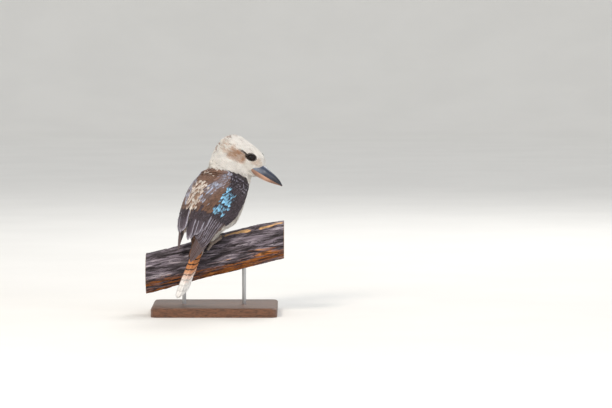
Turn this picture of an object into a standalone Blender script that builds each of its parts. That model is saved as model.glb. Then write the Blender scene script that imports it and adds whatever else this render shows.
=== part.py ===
"""Laughing kookaburra perched on a cut length of branch, held by a plain display stand.

Lengths are in millimetres and angles in degrees; a mesh is turned to metres where it is made.
+Z is up, +X runs along the branch and +Y points away from the side that shows the bird's back.
The bird's own directions are forward, right and up. Its body, neck and folded wings follow one
curved axis through the body, on which a place is a distance `along` (0 at the root of the tail,
rising to the neck and falling to the tip of the tail) and an angle `round` it (0 on the back, 90
on the bird's right side, 180 on the belly).
"""

import math

import bmesh
import bpy
import numpy as np

MM = 0.001
GAP = 0.3  # between touching pieces

# Where the bird stands and which way it faces
HEADING = 45.0  # from +Y towards +X
BODY_AT = np.array([-8.6, -24.0, 150.0])
FORWARD = np.array([math.sin(math.radians(HEADING)), math.cos(math.radians(HEADING)), 0.0])
RIGHT = np.array([FORWARD[1], -FORWARD[0], 0.0])
UP = np.array([0.0, 0.0, 1.0])

# Stand and branch
BASE_LENGTH, BASE_DEPTH, BASE_HEIGHT = 250.0, 210.0, 18.0
BASE_CORNER, BASE_EDGE = 14.0, 2.5
ROD_RADIUS, ROD_SEAT_IN_BASE, ROD_SEAT_IN_PERCH = 4.0, 9.0, 16.0
ROD_X = (-62.0, 58.0)
PERCH_HALF_LENGTH = 138.0
PERCH_HEIGHT, PERCH_SLOPE = 115.4, 0.2357
PERCH_RADIUS, PERCH_TAPER = 39.0, -0.006
PERCH_RINGS, PERCH_SIDES = 12, 22

# Body axis: along, forward, right, up, and how far the neck has turned to the right
BODY_AXIS = np.array([
    (-180, -94, 0, -126, 0),
    (-166, -88, 0, -113, 0),
    (-110, -62, 0, -64, 0),
    (-55, -36, 0, -18, 0),
    (0, -12, 0, 29, 0),
    (30, 5, 0, 54, 0),
    (60, 23, 0, 79, 0),
    (90, 39, 0, 102, 0),
    (118, 51, 0, 125, 6),
    (142, 57, 0, 147, 34),
    (160, 62, 2, 165, 56),
    (190, 68, 6, 193, 72),
], float)
# Feathered body without its wings: along, back, belly, flank
BODY_SIZE = np.array([
    (-62, 5, 5, 11),
    (-45, 11, 9, 17),
    (-30, 19, 13, 24),
    (-14, 29, 20, 32),
    (0, 38, 30, 39),
    (15, 46, 42, 45),
    (30, 51, 52, 48.5),
    (60, 50, 50, 51),
    (90, 44, 45, 48),
    (118, 42, 45, 43),
    (130, 43, 44, 41),
    (142, 44, 41, 38),
    (154, 42, 36, 36),
    (164, 35, 27, 30),
    (173, 20, 14, 18),
], float)
# Surface that the folded wings lie on: along, back, belly, flank
WING_BED = np.array([
    (-115, 12, 10, 11),
    (-90, 17, 14, 16),
    (-60, 27, 21, 25),
    (-30, 37, 30, 34),
    (0, 45, 39, 42),
    (15, 48, 45, 45.5),
    (30, 51, 52, 48.5),
    (60, 50, 50, 51),
    (90, 44, 45, 48),
    (118, 42, 45, 43),
    (136, 44, 43, 40),
], float)
SECTION_POWER = 2.3  # 2 is an ellipse, more is boxier
TORSO_FROM, TORSO_TO, TORSO_STEP = -14.0, 118.0, 11.0
ROUND_STEP = 15.0

# Head, on its own axes: ahead along the bill, right, and up through the crown. 0 is at the root of
# the bill's ridge.
HEAD_TURN, HEAD_DOWN = 118.0, 27.0  # bill's direction: from +Y towards +X, and below level
HEAD_AT = np.array([98.4, -8.0, 295.0])
# ahead, centre, above, below, half width
HEAD_SIZE = np.array([
    (1.5, -9, 6, 10, 9.5),
    (-5, -4, 13, 24, 13.5),
    (-12, -1, 17, 31, 17.5),
    (-21, 1, 19.5, 35, 22.5),
    (-35, 1, 22.5, 37, 28.5),
    (-48, 0, 24.5, 39, 32.5),
    (-62, -2, 27.5, 40, 34.5),
    (-76, -5, 31, 40, 34.5),
    (-88, -10, 34.5, 36, 32),
    (-98, -17, 32, 30, 27),
    (-106, -24, 24, 22, 20),
    (-111, -28, 10, 9, 9),
], float)
HEAD_SIDES = 24
# ahead, half width, ridge, mouth line, underside
BILL_SIZE = np.array([
    (-25, 13, -3, -12.5, -19),
    (-18, 16.5, -1, -12.5, -23),
    (-9, 15.6, 0, -13, -25.5),
    (0, 13.6, 0, -13.5, -26),
    (12, 11, -1.6, -14.3, -25.6),
    (26, 7.8, -4, -15.2, -23.6),
    (38, 5.0, -7, -15.7, -20.8),
    (47, 2.7, -10.5, -15.9, -18.4),
    (54, 0.7, -15, -16.4, -17.2),
], float)
BILL_SIDES = 6  # facets over each half of the bill
NOSTRIL_AT, NOSTRIL_SIZE = (7.0, 11.3, -6.8), (3.6, 2.2, 1.1)
EYE_AT, EYE_RADIUS, EYE_LOOK = (-24.8, 18.7, 7.4), 7.0, (0.43, 0.88, 0.2)
LID_RADIUS, LID_THICKNESS = 6.3, 1.1

# Folded wing: where its arm starts and ends on the body, by angle round it
ARM_ROUND = np.arange(15.0, 106.0, ROUND_STEP)
ARM_FRONT = np.array([98.0, 106.0, 112.0, 117.0, 118.5, 116.0, 108.0])
ARM_REAR = np.array([46.0, 38.0, 32.0, 28.0, 28.0, 34.0, 44.0])
ARM_ROWS, ARM_THICKNESS, ARM_EDGE = 9, 7.0, 1.6
VANE_THICKNESS, VANE_TIP_THICKNESS = 0.8, 0.55

# Tail: twelve feathers
TAIL_PAIRS, TAIL_TIP, TAIL_ROOT = 6, -166.0, -34.0
TAIL_HALF_WIDTH, TAIL_STEP_DOWN = 8.6, 1.15

# Legs and feet: each foot's place on the branch is a distance along it and an angle from its top
FEET = {"right": (1.0, -50.0), "left": (-23.0, -12.0)}
TOE_RADIUS, HEEL_HEIGHT = 3.2, 7.5


def smooth_through(table, at):
    """The columns of a table after the first, joined by smooth curves and read at each `at`."""
    knots, values = table[:, 0], table[:, 1:]
    if knots[0] > knots[-1]:
        knots, values = knots[::-1], values[::-1]
    slopes = np.gradient(values, knots, axis=0)
    at = np.clip(np.atleast_1d(np.asarray(at, float)), knots[0], knots[-1])
    i = np.clip(np.searchsorted(knots, at) - 1, 0, len(knots) - 2)
    span = (knots[i + 1] - knots[i])[:, None]
    x = (at[:, None] - knots[i][:, None]) / span
    return (
        values[i] * (2 * x**3 - 3 * x**2 + 1)
        + slopes[i] * span * (x**3 - 2 * x**2 + x)
        + values[i + 1] * (3 * x**2 - 2 * x**3)
        + slopes[i + 1] * span * (x**3 - x**2)
    )


def ease(x):
    x = np.clip(x, 0.0, 1.0)
    return x * x * (3 - 2 * x)


def rounded(value):
    """Cosine or sine of an angle, bent so that the section is a little boxier than an ellipse."""
    return np.sign(value) * np.abs(value) ** (2 / SECTION_POWER)


def bird_to_world(points):
    return BODY_AT + points @ np.array([FORWARD, RIGHT, UP])


def body_frame(along):
    """Points of the body axis, and the directions to the back and to the right at each."""
    place = smooth_through(BODY_AXIS, along)
    ahead = smooth_through(BODY_AXIS, along + 1) - smooth_through(BODY_AXIS, along - 1)
    ahead = ahead[:, :3] / np.linalg.norm(ahead[:, :3], axis=1)[:, None]
    turn = np.radians(place[:, 3])
    to_right = np.stack([-np.sin(turn), np.cos(turn), np.zeros(len(turn))], axis=1)
    to_back = np.cross(ahead, to_right)
    to_back /= np.linalg.norm(to_back, axis=1)[:, None]
    return place[:, :3], to_back, to_right


def on_body(sizes, along, around):
    """Points on the surface that `sizes` gives round the body axis, in the bird's directions."""
    along, around = np.broadcast_arrays(np.asarray(along, float), np.asarray(around, float))
    t, a = along.ravel(), np.radians(around.ravel())
    centre, to_back, to_right = body_frame(t)
    back, belly, flank = smooth_through(sizes, t).T
    high = rounded(np.cos(a))
    lift = np.where(high > 0, back, belly) * high
    points = centre + to_back * lift[:, None] + to_right * (flank * rounded(np.sin(a)))[:, None]
    return points.reshape(*along.shape, 3)


def above_body(sizes, along, around, height):
    """Points at a height over that surface, in the world."""
    step_along, step_round = 1.0, 1.5
    here = on_body(sizes, along, around)
    d_along = on_body(sizes, along + step_along, around) - on_body(sizes, along - step_along, around)
    d_round = on_body(sizes, along, around + step_round) - on_body(sizes, along, around - step_round)
    out = np.cross(d_along, d_round)
    out /= np.linalg.norm(out, axis=-1)[..., None]
    return bird_to_world(here + out * np.asarray(height, float)[..., None])


def head_axes():
    turn, down = math.radians(HEAD_TURN), math.radians(HEAD_DOWN)
    ahead = np.array([
        math.sin(turn) * math.cos(down), math.cos(turn) * math.cos(down), -math.sin(down)
    ])
    right = np.array([math.cos(turn), -math.sin(turn), 0.0])
    return np.array([ahead, right, np.cross(right, ahead)])


def head_to_world(points):
    return HEAD_AT + np.asarray(points, float) @ head_axes()


# Meshes


def paint(name, colour, roughness, metallic=0.0):
    """A plain finish for one kind of surface."""
    material = bpy.data.materials.get(name) or bpy.data.materials.new(name)
    material.use_nodes = True
    shader = material.node_tree.nodes["Principled BSDF"]
    shader.inputs["Base Color"].default_value = (*colour, 1.0)
    shader.inputs["Roughness"].default_value = roughness
    shader.inputs["Metallic"].default_value = metallic
    material.diffuse_color = (*colour, 1.0)
    return material


def make_object(name, points, faces, material=None):
    """A mesh object from points in millimetres, its faces turned outwards."""
    mesh = bpy.data.meshes.new(name)
    mesh.from_pydata((np.asarray(points, float) * MM).tolist(), [], faces)
    shape = bmesh.new()
    shape.from_mesh(mesh)
    bmesh.ops.remove_doubles(shape, verts=shape.verts, dist=1e-7)
    bmesh.ops.recalc_face_normals(shape, faces=shape.faces)
    if shape.calc_volume(signed=True) < 0:
        bmesh.ops.reverse_faces(shape, faces=shape.faces)
    shape.to_mesh(mesh)
    shape.free()
    made = bpy.data.objects.new(name, mesh)
    bpy.context.scene.collection.objects.link(made)
    if material:
        mesh.materials.append(material)
    return made


def loft(name, rings, material=None):
    """A closed body through rings of points, with a fan over each end."""
    rings = [np.asarray(ring, float) for ring in rings]
    sides = len(rings[0])
    points = np.concatenate([*rings, [rings[0].mean(0)], [rings[-1].mean(0)]])
    first, last = len(points) - 2, len(points) - 1
    faces = []
    for i in range(len(rings) - 1):
        for j in range(sides):
            a, b = i * sides + j, i * sides + (j + 1) % sides
            c, d = b + sides, a + sides
            # The diagonals of the two sides of the body mirror each other
            faces += [(a, b, c), (a, c, d)] if j < sides / 2 else [(a, b, d), (b, c, d)]
    start = (len(rings) - 1) * sides
    for j in range(sides):
        faces.append((first, (j + 1) % sides, j))
        faces.append((last, start + j, start + (j + 1) % sides))
    return make_object(name, points, faces, material)


def slab(name, top, under, material=None):
    """A thin closed body between two grids of points, split into triangles alike on both."""
    rows, columns = top.shape[:2]
    points = np.concatenate([top.reshape(-1, 3), under.reshape(-1, 3)])
    under_from = rows * columns
    faces = []
    for i in range(rows - 1):
        for j in range(columns - 1):
            a = i * columns + j
            b, c, d = a + 1, a + columns + 1, a + columns
            for one, two, three in ((a, b, c), (a, c, d)):
                faces.append((one, two, three))
                faces.append((under_from + three, under_from + two, under_from + one))
    rim = [*range(columns)]
    rim += [i * columns + columns - 1 for i in range(1, rows)]
    rim += [(rows - 1) * columns + j for j in range(columns - 2, -1, -1)]
    rim += [i * columns for i in range(rows - 2, 0, -1)]
    for a, b in zip(rim, rim[1:] + rim[:1]):
        faces += [(a, under_from + a, under_from + b), (a, under_from + b, b)]
    return make_object(name, points, faces, material)


def boolean(target, cutter, operation):
    """Cuts or joins `target` by an object, which is then removed."""
    change = target.modifiers.new(operation.title(), "BOOLEAN")
    change.operation = operation
    change.solver = "EXACT"
    change.object = cutter
    apply_modifiers(target)
    bpy.data.objects.remove(cutter)
    return target


def fuse(target, pieces):
    """Joins closed pieces to `target` by one union, and keeps its largest closed surface."""
    group = bpy.data.collections.new("Joined pieces")
    for piece in pieces:
        group.objects.link(piece)
    join = target.modifiers.new("Union", "BOOLEAN")
    join.operation = "UNION"
    join.solver = "MANIFOLD"
    join.operand_type = "COLLECTION"
    join.collection = group
    apply_modifiers(target)
    for piece in pieces:
        bpy.data.objects.remove(piece)
    bpy.data.collections.remove(group)
    return keep_largest(target)


def apply_modifiers(target):
    bpy.context.view_layer.update()
    graph = bpy.context.evaluated_depsgraph_get()
    mesh = bpy.data.meshes.new_from_object(target.evaluated_get(graph))
    target.modifiers.clear()
    old = target.data
    target.data = mesh
    bpy.data.meshes.remove(old)


def clear_of(target, other, distance=0.45):
    """Cuts `target` back so that it stays this far from another object."""
    room = bpy.data.objects.new("room", other.data.copy())
    bpy.context.scene.collection.objects.link(room)
    grown = [vert.co + vert.normal * distance * MM for vert in room.data.vertices]
    for vert, place in zip(room.data.vertices, grown):
        vert.co = place
    boolean(target, room, "DIFFERENCE")
    return keep_largest(target)


def keep_largest(target):
    """Drops every closed surface but the one with the largest volume, and tidies slivers."""
    shape = bmesh.new()
    shape.from_mesh(target.data)
    bmesh.ops.triangulate(shape, faces=shape.faces)
    bmesh.ops.remove_doubles(shape, verts=shape.verts, dist=2e-6)
    shape.verts.ensure_lookup_table()
    seen, islands = set(), []
    for start in shape.verts:
        if start in seen:
            continue
        island, todo = set(), [start]
        while todo:
            vert = todo.pop()
            if vert in island:
                continue
            island.add(vert)
            todo += [edge.other_vert(vert) for edge in vert.link_edges]
        seen |= island
        islands.append(island)

    def volume(island):
        faces = {face for vert in island for face in vert.link_faces}
        return abs(sum(
            face.verts[0].co.dot(face.verts[1].co.cross(face.verts[2].co)) for face in faces
        ))

    largest = max(islands, key=volume)
    scraps = [vert for vert in shape.verts if vert not in largest]
    bmesh.ops.delete(shape, geom=scraps, context="VERTS")
    shape.to_mesh(target.data)
    shape.free()
    return target


def ellipsoid(name, centre, radii, axes, rings=8, sides=14, material=None):
    """A closed ellipsoid with its radii along three given directions."""
    loops = []
    for i in range(1, rings):
        slope = math.pi * i / rings
        turn = np.linspace(0, 2 * math.pi, sides, endpoint=False)
        unit = np.stack([
            np.full(sides, math.cos(slope)),
            math.sin(slope) * np.cos(turn),
            math.sin(slope) * np.sin(turn),
        ], axis=1)
        loops.append(centre + (unit * radii) @ axes)
    ends = [centre + np.array([r, 0, 0]) @ axes for r in (radii[0], -radii[0])]
    points = np.concatenate([*loops, ends])
    north, south = len(points) - 2, len(points) - 1
    faces = []
    for i in range(len(loops) - 1):
        for j in range(sides):
            a, b = i * sides + j, i * sides + (j + 1) % sides
            faces += [(a, b, b + sides), (a, b + sides, a + sides)]
    last = (len(loops) - 1) * sides
    for j in range(sides):
        faces.append((north, (j + 1) % sides, j))
        faces.append((south, last + j, last + (j + 1) % sides))
    return make_object(name, points, faces, material)


# Branch and stand


def perch_axis(x):
    """Middle of the branch at x, in the world."""
    x = np.asarray(x, float)
    bend = 2.0 * np.sin(x / 58 + 0.6)
    return np.stack([x, 1.5 * np.sin(x / 47), PERCH_HEIGHT + PERCH_SLOPE * x + bend - 1.1], axis=-1)


def perch_radius(x, turn):
    """Half width of the branch at x, by the angle from its top towards the bird's back."""
    x, a = np.asarray(x, float), np.radians(turn)
    radius = PERCH_RADIUS + PERCH_TAPER * x
    radius = radius + 1.1 * np.sin(2 * a + x / 40) + 0.7 * np.sin(3 * a - x / 23)
    knot = np.exp(-(((x - 86) / 15) ** 2) - ((np.asarray(turn, float) - 52) / 30) ** 2)
    return radius + 5.0 * knot


def on_perch(x, turn, height=0.0):
    """Point at a height over the bark. Positive angles turn away from the bird's back."""
    slope = 1 / math.hypot(1, PERCH_SLOPE)
    lean = np.array([-PERCH_SLOPE * slope, 0.0, slope])
    a = np.radians(turn)
    reach = perch_radius(x, turn) + height
    out = np.multiply.outer(np.cos(a) * reach, lean) + np.multiply.outer(
        np.sin(a) * reach, np.array([0.0, 1.0, 0.0])
    )
    return perch_axis(x) + out


def make_perch(name, grow=0.0, material=None):
    turns = np.arange(PERCH_SIDES) * 360.0 / PERCH_SIDES
    reach = PERCH_HALF_LENGTH + grow
    rings = [
        on_perch(np.full(PERCH_SIDES, x), turns, grow)
        for x in np.linspace(-reach, reach, PERCH_RINGS)
    ]
    for ring, x in ((rings[0], -reach), (rings[-1], reach)):
        ring[:, 0] = x  # the cut ends are upright and flat
    return loft(name, rings, material)


def rod_top(x):
    """Height at which a rod ends inside the branch."""
    underside = on_perch(float(x), 180.0)
    return float(underside[2]) + ROD_SEAT_IN_PERCH


def cylinder(name, x, radius, low, high, sides=20, material=None):
    turn = np.linspace(0, 2 * math.pi, sides, endpoint=False)
    ring = np.stack([x + radius * np.cos(turn), radius * np.sin(turn), np.zeros(sides)], axis=1)
    return loft(name, [ring + (0, 0, low), ring + (0, 0, high)], material)


def make_stand(wood, metal, bark):
    outline = []
    for corner in range(4):
        for step in range(5):
            turn = math.radians(90 * corner + 22.5 * step)
            sign = (1 if corner in (0, 3) else -1, 1 if corner < 2 else -1)
            outline.append((
                sign[0] * (BASE_LENGTH / 2 - BASE_CORNER) + BASE_CORNER * math.cos(turn),
                sign[1] * (BASE_DEPTH / 2 - BASE_CORNER) + BASE_CORNER * math.sin(turn),
            ))
    outline = np.array(outline)
    inner = outline * (1 - 2 * BASE_EDGE / np.array([BASE_LENGTH, BASE_DEPTH]))
    base = loft("stand_base", [
        np.column_stack([outline, np.zeros(len(outline))]),
        np.column_stack([outline, np.full(len(outline), BASE_HEIGHT - BASE_EDGE)]),
        np.column_stack([inner, np.full(len(outline), BASE_HEIGHT)]),
    ], wood)
    perch = make_perch("perch_branch", material=bark)
    for side, x in zip(("left", "right"), ROD_X):
        foot = BASE_HEIGHT - ROD_SEAT_IN_BASE
        hole = cylinder("hole", x, ROD_RADIUS + GAP, foot - GAP, BASE_HEIGHT + 20)
        boolean(base, hole, "DIFFERENCE")
        top = rod_top(x)
        hole = cylinder("hole", x, ROD_RADIUS + GAP, top - 60, top + GAP)
        boolean(perch, hole, "DIFFERENCE")
        cylinder(f"stand_rod_{side}", x, ROD_RADIUS, foot, top, material=metal)
    keep_largest(base)
    keep_largest(perch)


# Body


def body_rings(start, stop, grow=0.0, step=TORSO_STEP):
    turns = np.arange(0, 360, ROUND_STEP)
    count = round((stop - start) / step)
    return [
        above_body(BODY_SIZE, np.full(len(turns), t), turns, np.full(len(turns), grow))
        for t in np.linspace(start, stop, count + 1)
    ]


def make_torso(plumage):
    torso = loft("torso", body_rings(TORSO_FROM, TORSO_TO), plumage)
    return keep_largest(boolean(torso, make_perch("branch room", GAP + 0.2), "DIFFERENCE"))


def make_neck(plumage):
    neck = loft("neck", body_rings(TORSO_TO + 0.5, 173.0, step=7.0), plumage)
    return keep_largest(boolean(neck, loft("head room", head_rings(0.5)), "DIFFERENCE"))


def head_rings(grow=0.0, step=8.0):
    turns = np.radians(np.linspace(0, 360, HEAD_SIDES, endpoint=False))
    front, rear = HEAD_SIZE[0, 0], HEAD_SIZE[-1, 0]
    count = round((front - rear) / step)
    rings = []
    for ahead in front - (front - rear) * ease(np.linspace(0, 1, count + 1)):
        centre, above, below, half = smooth_through(HEAD_SIZE, ahead)[0]
        up = rounded(np.cos(turns))
        place = ahead + grow * (1 if ahead > front - 1e-6 else -1 if ahead < rear + 1e-6 else 0)
        rings.append(head_to_world(np.stack([
            np.full(len(turns), place),
            (half + grow) * rounded(np.sin(turns)),
            centre + (np.where(up > 0, above, below) + grow) * up,
        ], axis=1)))
    return rings


def bill_ring(ahead, upper, grow=0.0):
    """Half of the bill's section: a rounded roof over, or keel under, the mouth line."""
    half, ridge, mouth, underside = smooth_through(BILL_SIZE, ahead)[0]
    turns = np.linspace(0, math.pi, 2 * BILL_SIDES + 1)
    edge = mouth + (GAP / 2 - grow) * (1 if upper else -1)
    far = (ridge if upper else underside) + grow * (1 if upper else -1)
    across = (half + grow) * np.cos(turns)
    high = edge + (far - edge) * np.sin(turns) ** 0.9
    place = ahead + (grow * np.sign(ahead) if ahead in (BILL_SIZE[0, 0], BILL_SIZE[-1, 0]) else 0)
    return head_to_world(np.stack([np.full(len(turns), place), across, high], axis=1))


def bill_rings(upper, grow=0.0):
    places = [-25, -18, -12, -6, 0, 7, 14, 21, 28, 34, 40, 45, 50, 54]
    return [bill_ring(float(place), upper, grow) for place in places]


def make_bill(dark_horn, pale_horn):
    upper = loft("bill_upper", bill_rings(True), dark_horn)
    for side in (-1, 1):
        ahead, out, high = NOSTRIL_AT
        slit = ellipsoid("nostril", head_to_world([ahead, side * out, high]),
                         NOSTRIL_SIZE, head_axes(), rings=6, sides=8)
        boolean(upper, slit, "DIFFERENCE")
    keep_largest(upper)
    loft("bill_lower", bill_rings(False), pale_horn)


def eye_centre(side):
    ahead, out, high = EYE_AT
    return head_to_world([ahead, side * out, high])


def lid_ring(side):
    """The soft rim of the eyelids, lying on the face round the eye."""
    axes = head_axes()
    look = np.array(EYE_LOOK) * (1, side, 1) @ axes
    look /= np.linalg.norm(look)
    across = np.cross(look, axes[2])
    across /= np.linalg.norm(across)
    over = np.cross(across, look)
    centre = eye_centre(side) + look * math.sqrt(EYE_RADIUS**2 - (LID_RADIUS - 0.9) ** 2)
    sides, facets = 12, 4
    points, faces = [], []
    for i in range(sides):
        a = 2 * math.pi * i / sides
        spoke = math.cos(a) * across + math.sin(a) * 0.94 * over
        for j in range(facets):
            b = 2 * math.pi * j / facets
            points.append(centre + spoke * (LID_RADIUS + LID_THICKNESS * math.cos(b))
                          + look * LID_THICKNESS * math.sin(b))
            c, d = i * facets + j, i * facets + (j + 1) % facets
            e, f = ((i + 1) % sides) * facets + j, ((i + 1) % sides) * facets + (j + 1) % facets
            faces += [(c, d, f), (c, f, e)]
    return make_object("lid", points, faces)


def make_head(plumage, eye):
    head = loft("head", head_rings(), plumage)
    for upper in (True, False):
        boolean(head, loft("bill room", bill_rings(upper, 0.45)), "DIFFERENCE")
    fuse(head, [lid_ring(side) for side in (-1, 1)])
    for name, side in (("left", -1), ("right", 1)):
        room = ellipsoid("eye room", eye_centre(side), np.full(3, EYE_RADIUS + GAP), head_axes(),
                         rings=8, sides=12)
        boolean(head, room, "DIFFERENCE")
        ellipsoid(f"eye_{name}", eye_centre(side), np.full(3, EYE_RADIUS), head_axes(),
                  rings=8, sides=12, material=eye)
    return keep_largest(head)


# Feathers


def vane(place, root, tip, half_width, heights, tilt, rows=6, blunt=0.72):
    """One feather's web from its root to its tip, as a thin slab.

    `place` turns (along, across, height) into points, `half_width` is in the units of across,
    `heights` is the height at the root and at the tip, and `tilt` lifts the far edge. The web
    keeps its width up to `blunt` of its length and rounds off from there.
    """
    rounding = rows // 2 + 1
    q = np.concatenate([
        np.linspace(0, blunt, rows - rounding, endpoint=False),
        blunt + (1 - blunt) * np.sin(np.linspace(0, math.pi / 2, rounding)),
    ])[:, None]
    full = 0.6 + 0.4 * ease(q / 0.35)
    end = np.sqrt(np.clip(1 - (np.clip(q - blunt, 0, 1) / (1 - blunt)) ** 2, 0, 1))
    width = half_width * full * np.maximum(end, 0.2)
    edge = np.array([[-1.0, 1.0]])
    along = root[0] + (tip[0] - root[0]) * q + 0 * edge
    across = root[1] + (tip[1] - root[1]) * q + width * edge
    height = heights[0] + (heights[1] - heights[0]) * q + tilt * edge * width / half_width
    thick = VANE_THICKNESS + (VANE_TIP_THICKNESS - VANE_THICKNESS) * q
    return slab("vane", place(along, across, height + thick / 2),
                place(along, across, height - thick / 2))


def wing_place(side):
    def place(along, around, height):
        return above_body(WING_BED, along, side * around, height * np.ones_like(along))
    return place


def degrees_for(width, along):
    """The angle round the wing's bed that a width covers there."""
    back, _, flank = smooth_through(WING_BED, along)[0]
    return math.degrees(width / (0.5 * (back + flank)))


def row_of(count, low, high, bend=1.0):
    """`count` values from low to high, unevenly spaced if bend isn't 1."""
    return low + (high - low) * np.linspace(0, 1, count) ** bend


def make_arm(name, side, material):
    """The feathered arm of a folded wing: a pad that lies on the body and holds the quills."""
    v = np.linspace(0, 1, ARM_ROWS)[:, None]
    along = ARM_FRONT * (1 - v) + ARM_REAR * v
    around = np.broadcast_to(ARM_ROUND, along.shape)
    edge = np.minimum(1, np.minimum(np.arange(7), np.arange(6, -1, -1)) / 1.6 + 0.3)
    crown = np.sin(math.pi * np.clip(v, 0.04, 0.97) ** 0.75) ** 0.6
    top = ARM_EDGE + ARM_THICKNESS * crown * edge
    gap = np.full(along.shape, GAP + 0.15)
    return slab(
        name,
        above_body(WING_BED, along, side * around, top),
        above_body(WING_BED, along, side * around, gap),
        material,
    )


def wing_feathers(side, droop, lift):
    """Every visible web of one folded wing, from the lowest tier to the topmost."""
    place = wing_place(side)
    webs = []

    def tier(roots_along, roots_round, tips_along, tips_round, width, heights, tilt, **more):
        for k in range(len(roots_along)):
            middle = 0.5 * (roots_along[k] + tips_along[k])
            away = lift * float(np.clip((30 - tips_along[k]) / 90, 0, 1))
            webs.append(vane(
                place, (roots_along[k], roots_round[k]), (tips_along[k], tips_round[k]),
                degrees_for(width[k], middle), (heights[0], heights[1] + away), tilt, **more
            ))

    # Primaries: the long quills of the hand, along the wing's lower edge
    n = 5
    tips = -92.0 + droop + 6.0 * np.abs(np.linspace(-1.0, 2.0, n)) ** 1.6
    tier(row_of(n, 36, 46), row_of(n, 72, 96), tips, row_of(n, 28, 64), np.full(n, 7.6),
         (2.4, 2.6), 2.2, rows=5, blunt=0.86)
    # Secondaries: shorter, each over the next one down
    n = 5
    tier(row_of(n, 42, 40), row_of(n, 38, 82), row_of(n, -36, -56) + droop, row_of(n, 28, 64),
         np.full(n, 8.8), (4.6, 5.6), 2.2, rows=5, blunt=0.82)
    # Tertials: broad, over the secondaries next to the back
    n = 3
    tier(row_of(n, 50, 46), row_of(n, 18, 42), np.array([-48.0, -42.0, -30.0]) + 0.7 * droop,
         row_of(n, 9, 42), np.full(n, 10.5), (5.8, 8.0), 2.0, rows=5, blunt=0.8)
    # Greater coverts, over the roots of the quills
    n = 6
    tier(row_of(n, 52, 60), row_of(n, 38, 94), row_of(n, 12, 16), row_of(n, 36, 91),
         np.full(n, 7.8), (5.6, 9.6), 1.6, rows=4, blunt=0.6)
    # Median coverts, over the greater ones
    n = 6
    tier(row_of(n, 76, 82), row_of(n, 38, 92), row_of(n, 40, 46), row_of(n, 37, 90),
         np.full(n, 7.6), (6.6, 11.0), 1.5, rows=4, blunt=0.58)
    # Scapulars, from the shoulder over the inner wing
    n = 4
    tier(row_of(n, 84, 90), row_of(n, 14, 40), row_of(n, 24, 42), row_of(n, 13, 38),
         np.full(n, 8.6), (6.4, 12.0), 1.5, rows=4, blunt=0.6)
    return webs


def make_wing(name, side, droop, lift, material):
    wing = fuse(make_arm(name, side, material), wing_feathers(side, droop, lift))
    boolean(wing, loft("body room", body_rings(TORSO_FROM, TORSO_TO, GAP)), "DIFFERENCE")
    return keep_largest(wing)


def tail_place(along, across, height):
    """Points beside and over the tail's axis."""
    along, across, height = np.broadcast_arrays(along, across, height)
    centre, to_back, to_right = body_frame(along.ravel())
    points = centre + to_back * height.ravel()[:, None] + to_right * across.ravel()[:, None]
    return bird_to_world(points).reshape(*along.shape, 3)


def make_tail(material):
    rump = loft("tail", body_rings(-62.0, TORSO_FROM - GAP, step=8.0), material)
    webs = []
    for pair in range(TAIL_PAIRS):
        for side in (-1, 1):
            order = pair + 0.5
            depth = -TAIL_STEP_DOWN * pair - (0.55 if side < 0 else 0.0)
            webs.append(vane(
                tail_place, (TAIL_ROOT, side * order * 1.1),
                (TAIL_TIP + 0.62 * order**2, side * order * 1.35),
                TAIL_HALF_WIDTH, (1.5 + depth * 0.6, 2.5 + depth), -1.1 * side, rows=5, blunt=0.92,
            ))
    # Coverts over and under the root of the tail
    for face, count, reach in ((1, 3, -88.0), (-1, 3, -80.0)):
        for k in range(count):
            across = (k - (count - 1) / 2) * 7.0
            webs.append(vane(
                tail_place, (-38.0, across), (reach + 0.35 * abs(across), across * 0.9), 5.8,
                (face * 3.0, face * 5.0 - (2.2 if face < 0 else 0.0)), 0.5, rows=4, blunt=0.6,
            ))
    return fuse(rump, webs)


# Legs and feet


def foot_direction():
    """The bird's forward direction on the unrolled bark: along the branch, and round it."""
    return FORWARD[0], FORWARD[1]


def bark_point(foot, ahead, aside, height):
    """A point over the bark, measured from a foot towards the bird's front and right."""
    x, turn = FEET[foot]
    go_x, go_y = foot_direction()
    x = x + ahead * go_x + aside * go_y
    turn = turn + math.degrees((ahead * go_y - aside * go_x) / PERCH_RADIUS)
    return on_perch(x, turn, height)


def tube(name, centres, radii, sides=8, flat=None, material=None):
    """A round bar through points, with its own radius at each."""
    centres = np.asarray(centres, float)
    heading = np.gradient(centres, axis=0)
    rings = []
    for centre, radius, ahead in zip(centres, radii, heading):
        ahead = ahead / np.linalg.norm(ahead)
        side = np.cross(ahead, UP if abs(ahead[2]) < 0.9 else FORWARD)
        side /= np.linalg.norm(side)
        over = np.cross(side, ahead)
        turn = np.linspace(0, 2 * math.pi, sides, endpoint=False)
        rings.append(centre + radius * (
            np.outer(np.cos(turn), side) + np.outer(np.sin(turn), over)
        ))
    return loft(name, rings, material)


TOES = {  # direction to the right of forward, length
    "inner": (-26.0, 19.0),
    "middle": (2.0, 27.0),
    "outer": (22.0, 22.0),
    "hind": (180.0, 17.0),
}


def toe_line(foot, toe, start, stop, count, height):
    side = 1 if foot == "right" else -1
    lean, length = TOES[toe]
    lean = math.radians(lean * side)
    return [
        bark_point(foot, q * length * math.cos(lean), q * length * math.sin(lean), height(q))
        for q in np.linspace(start, stop, count)
    ]


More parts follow.
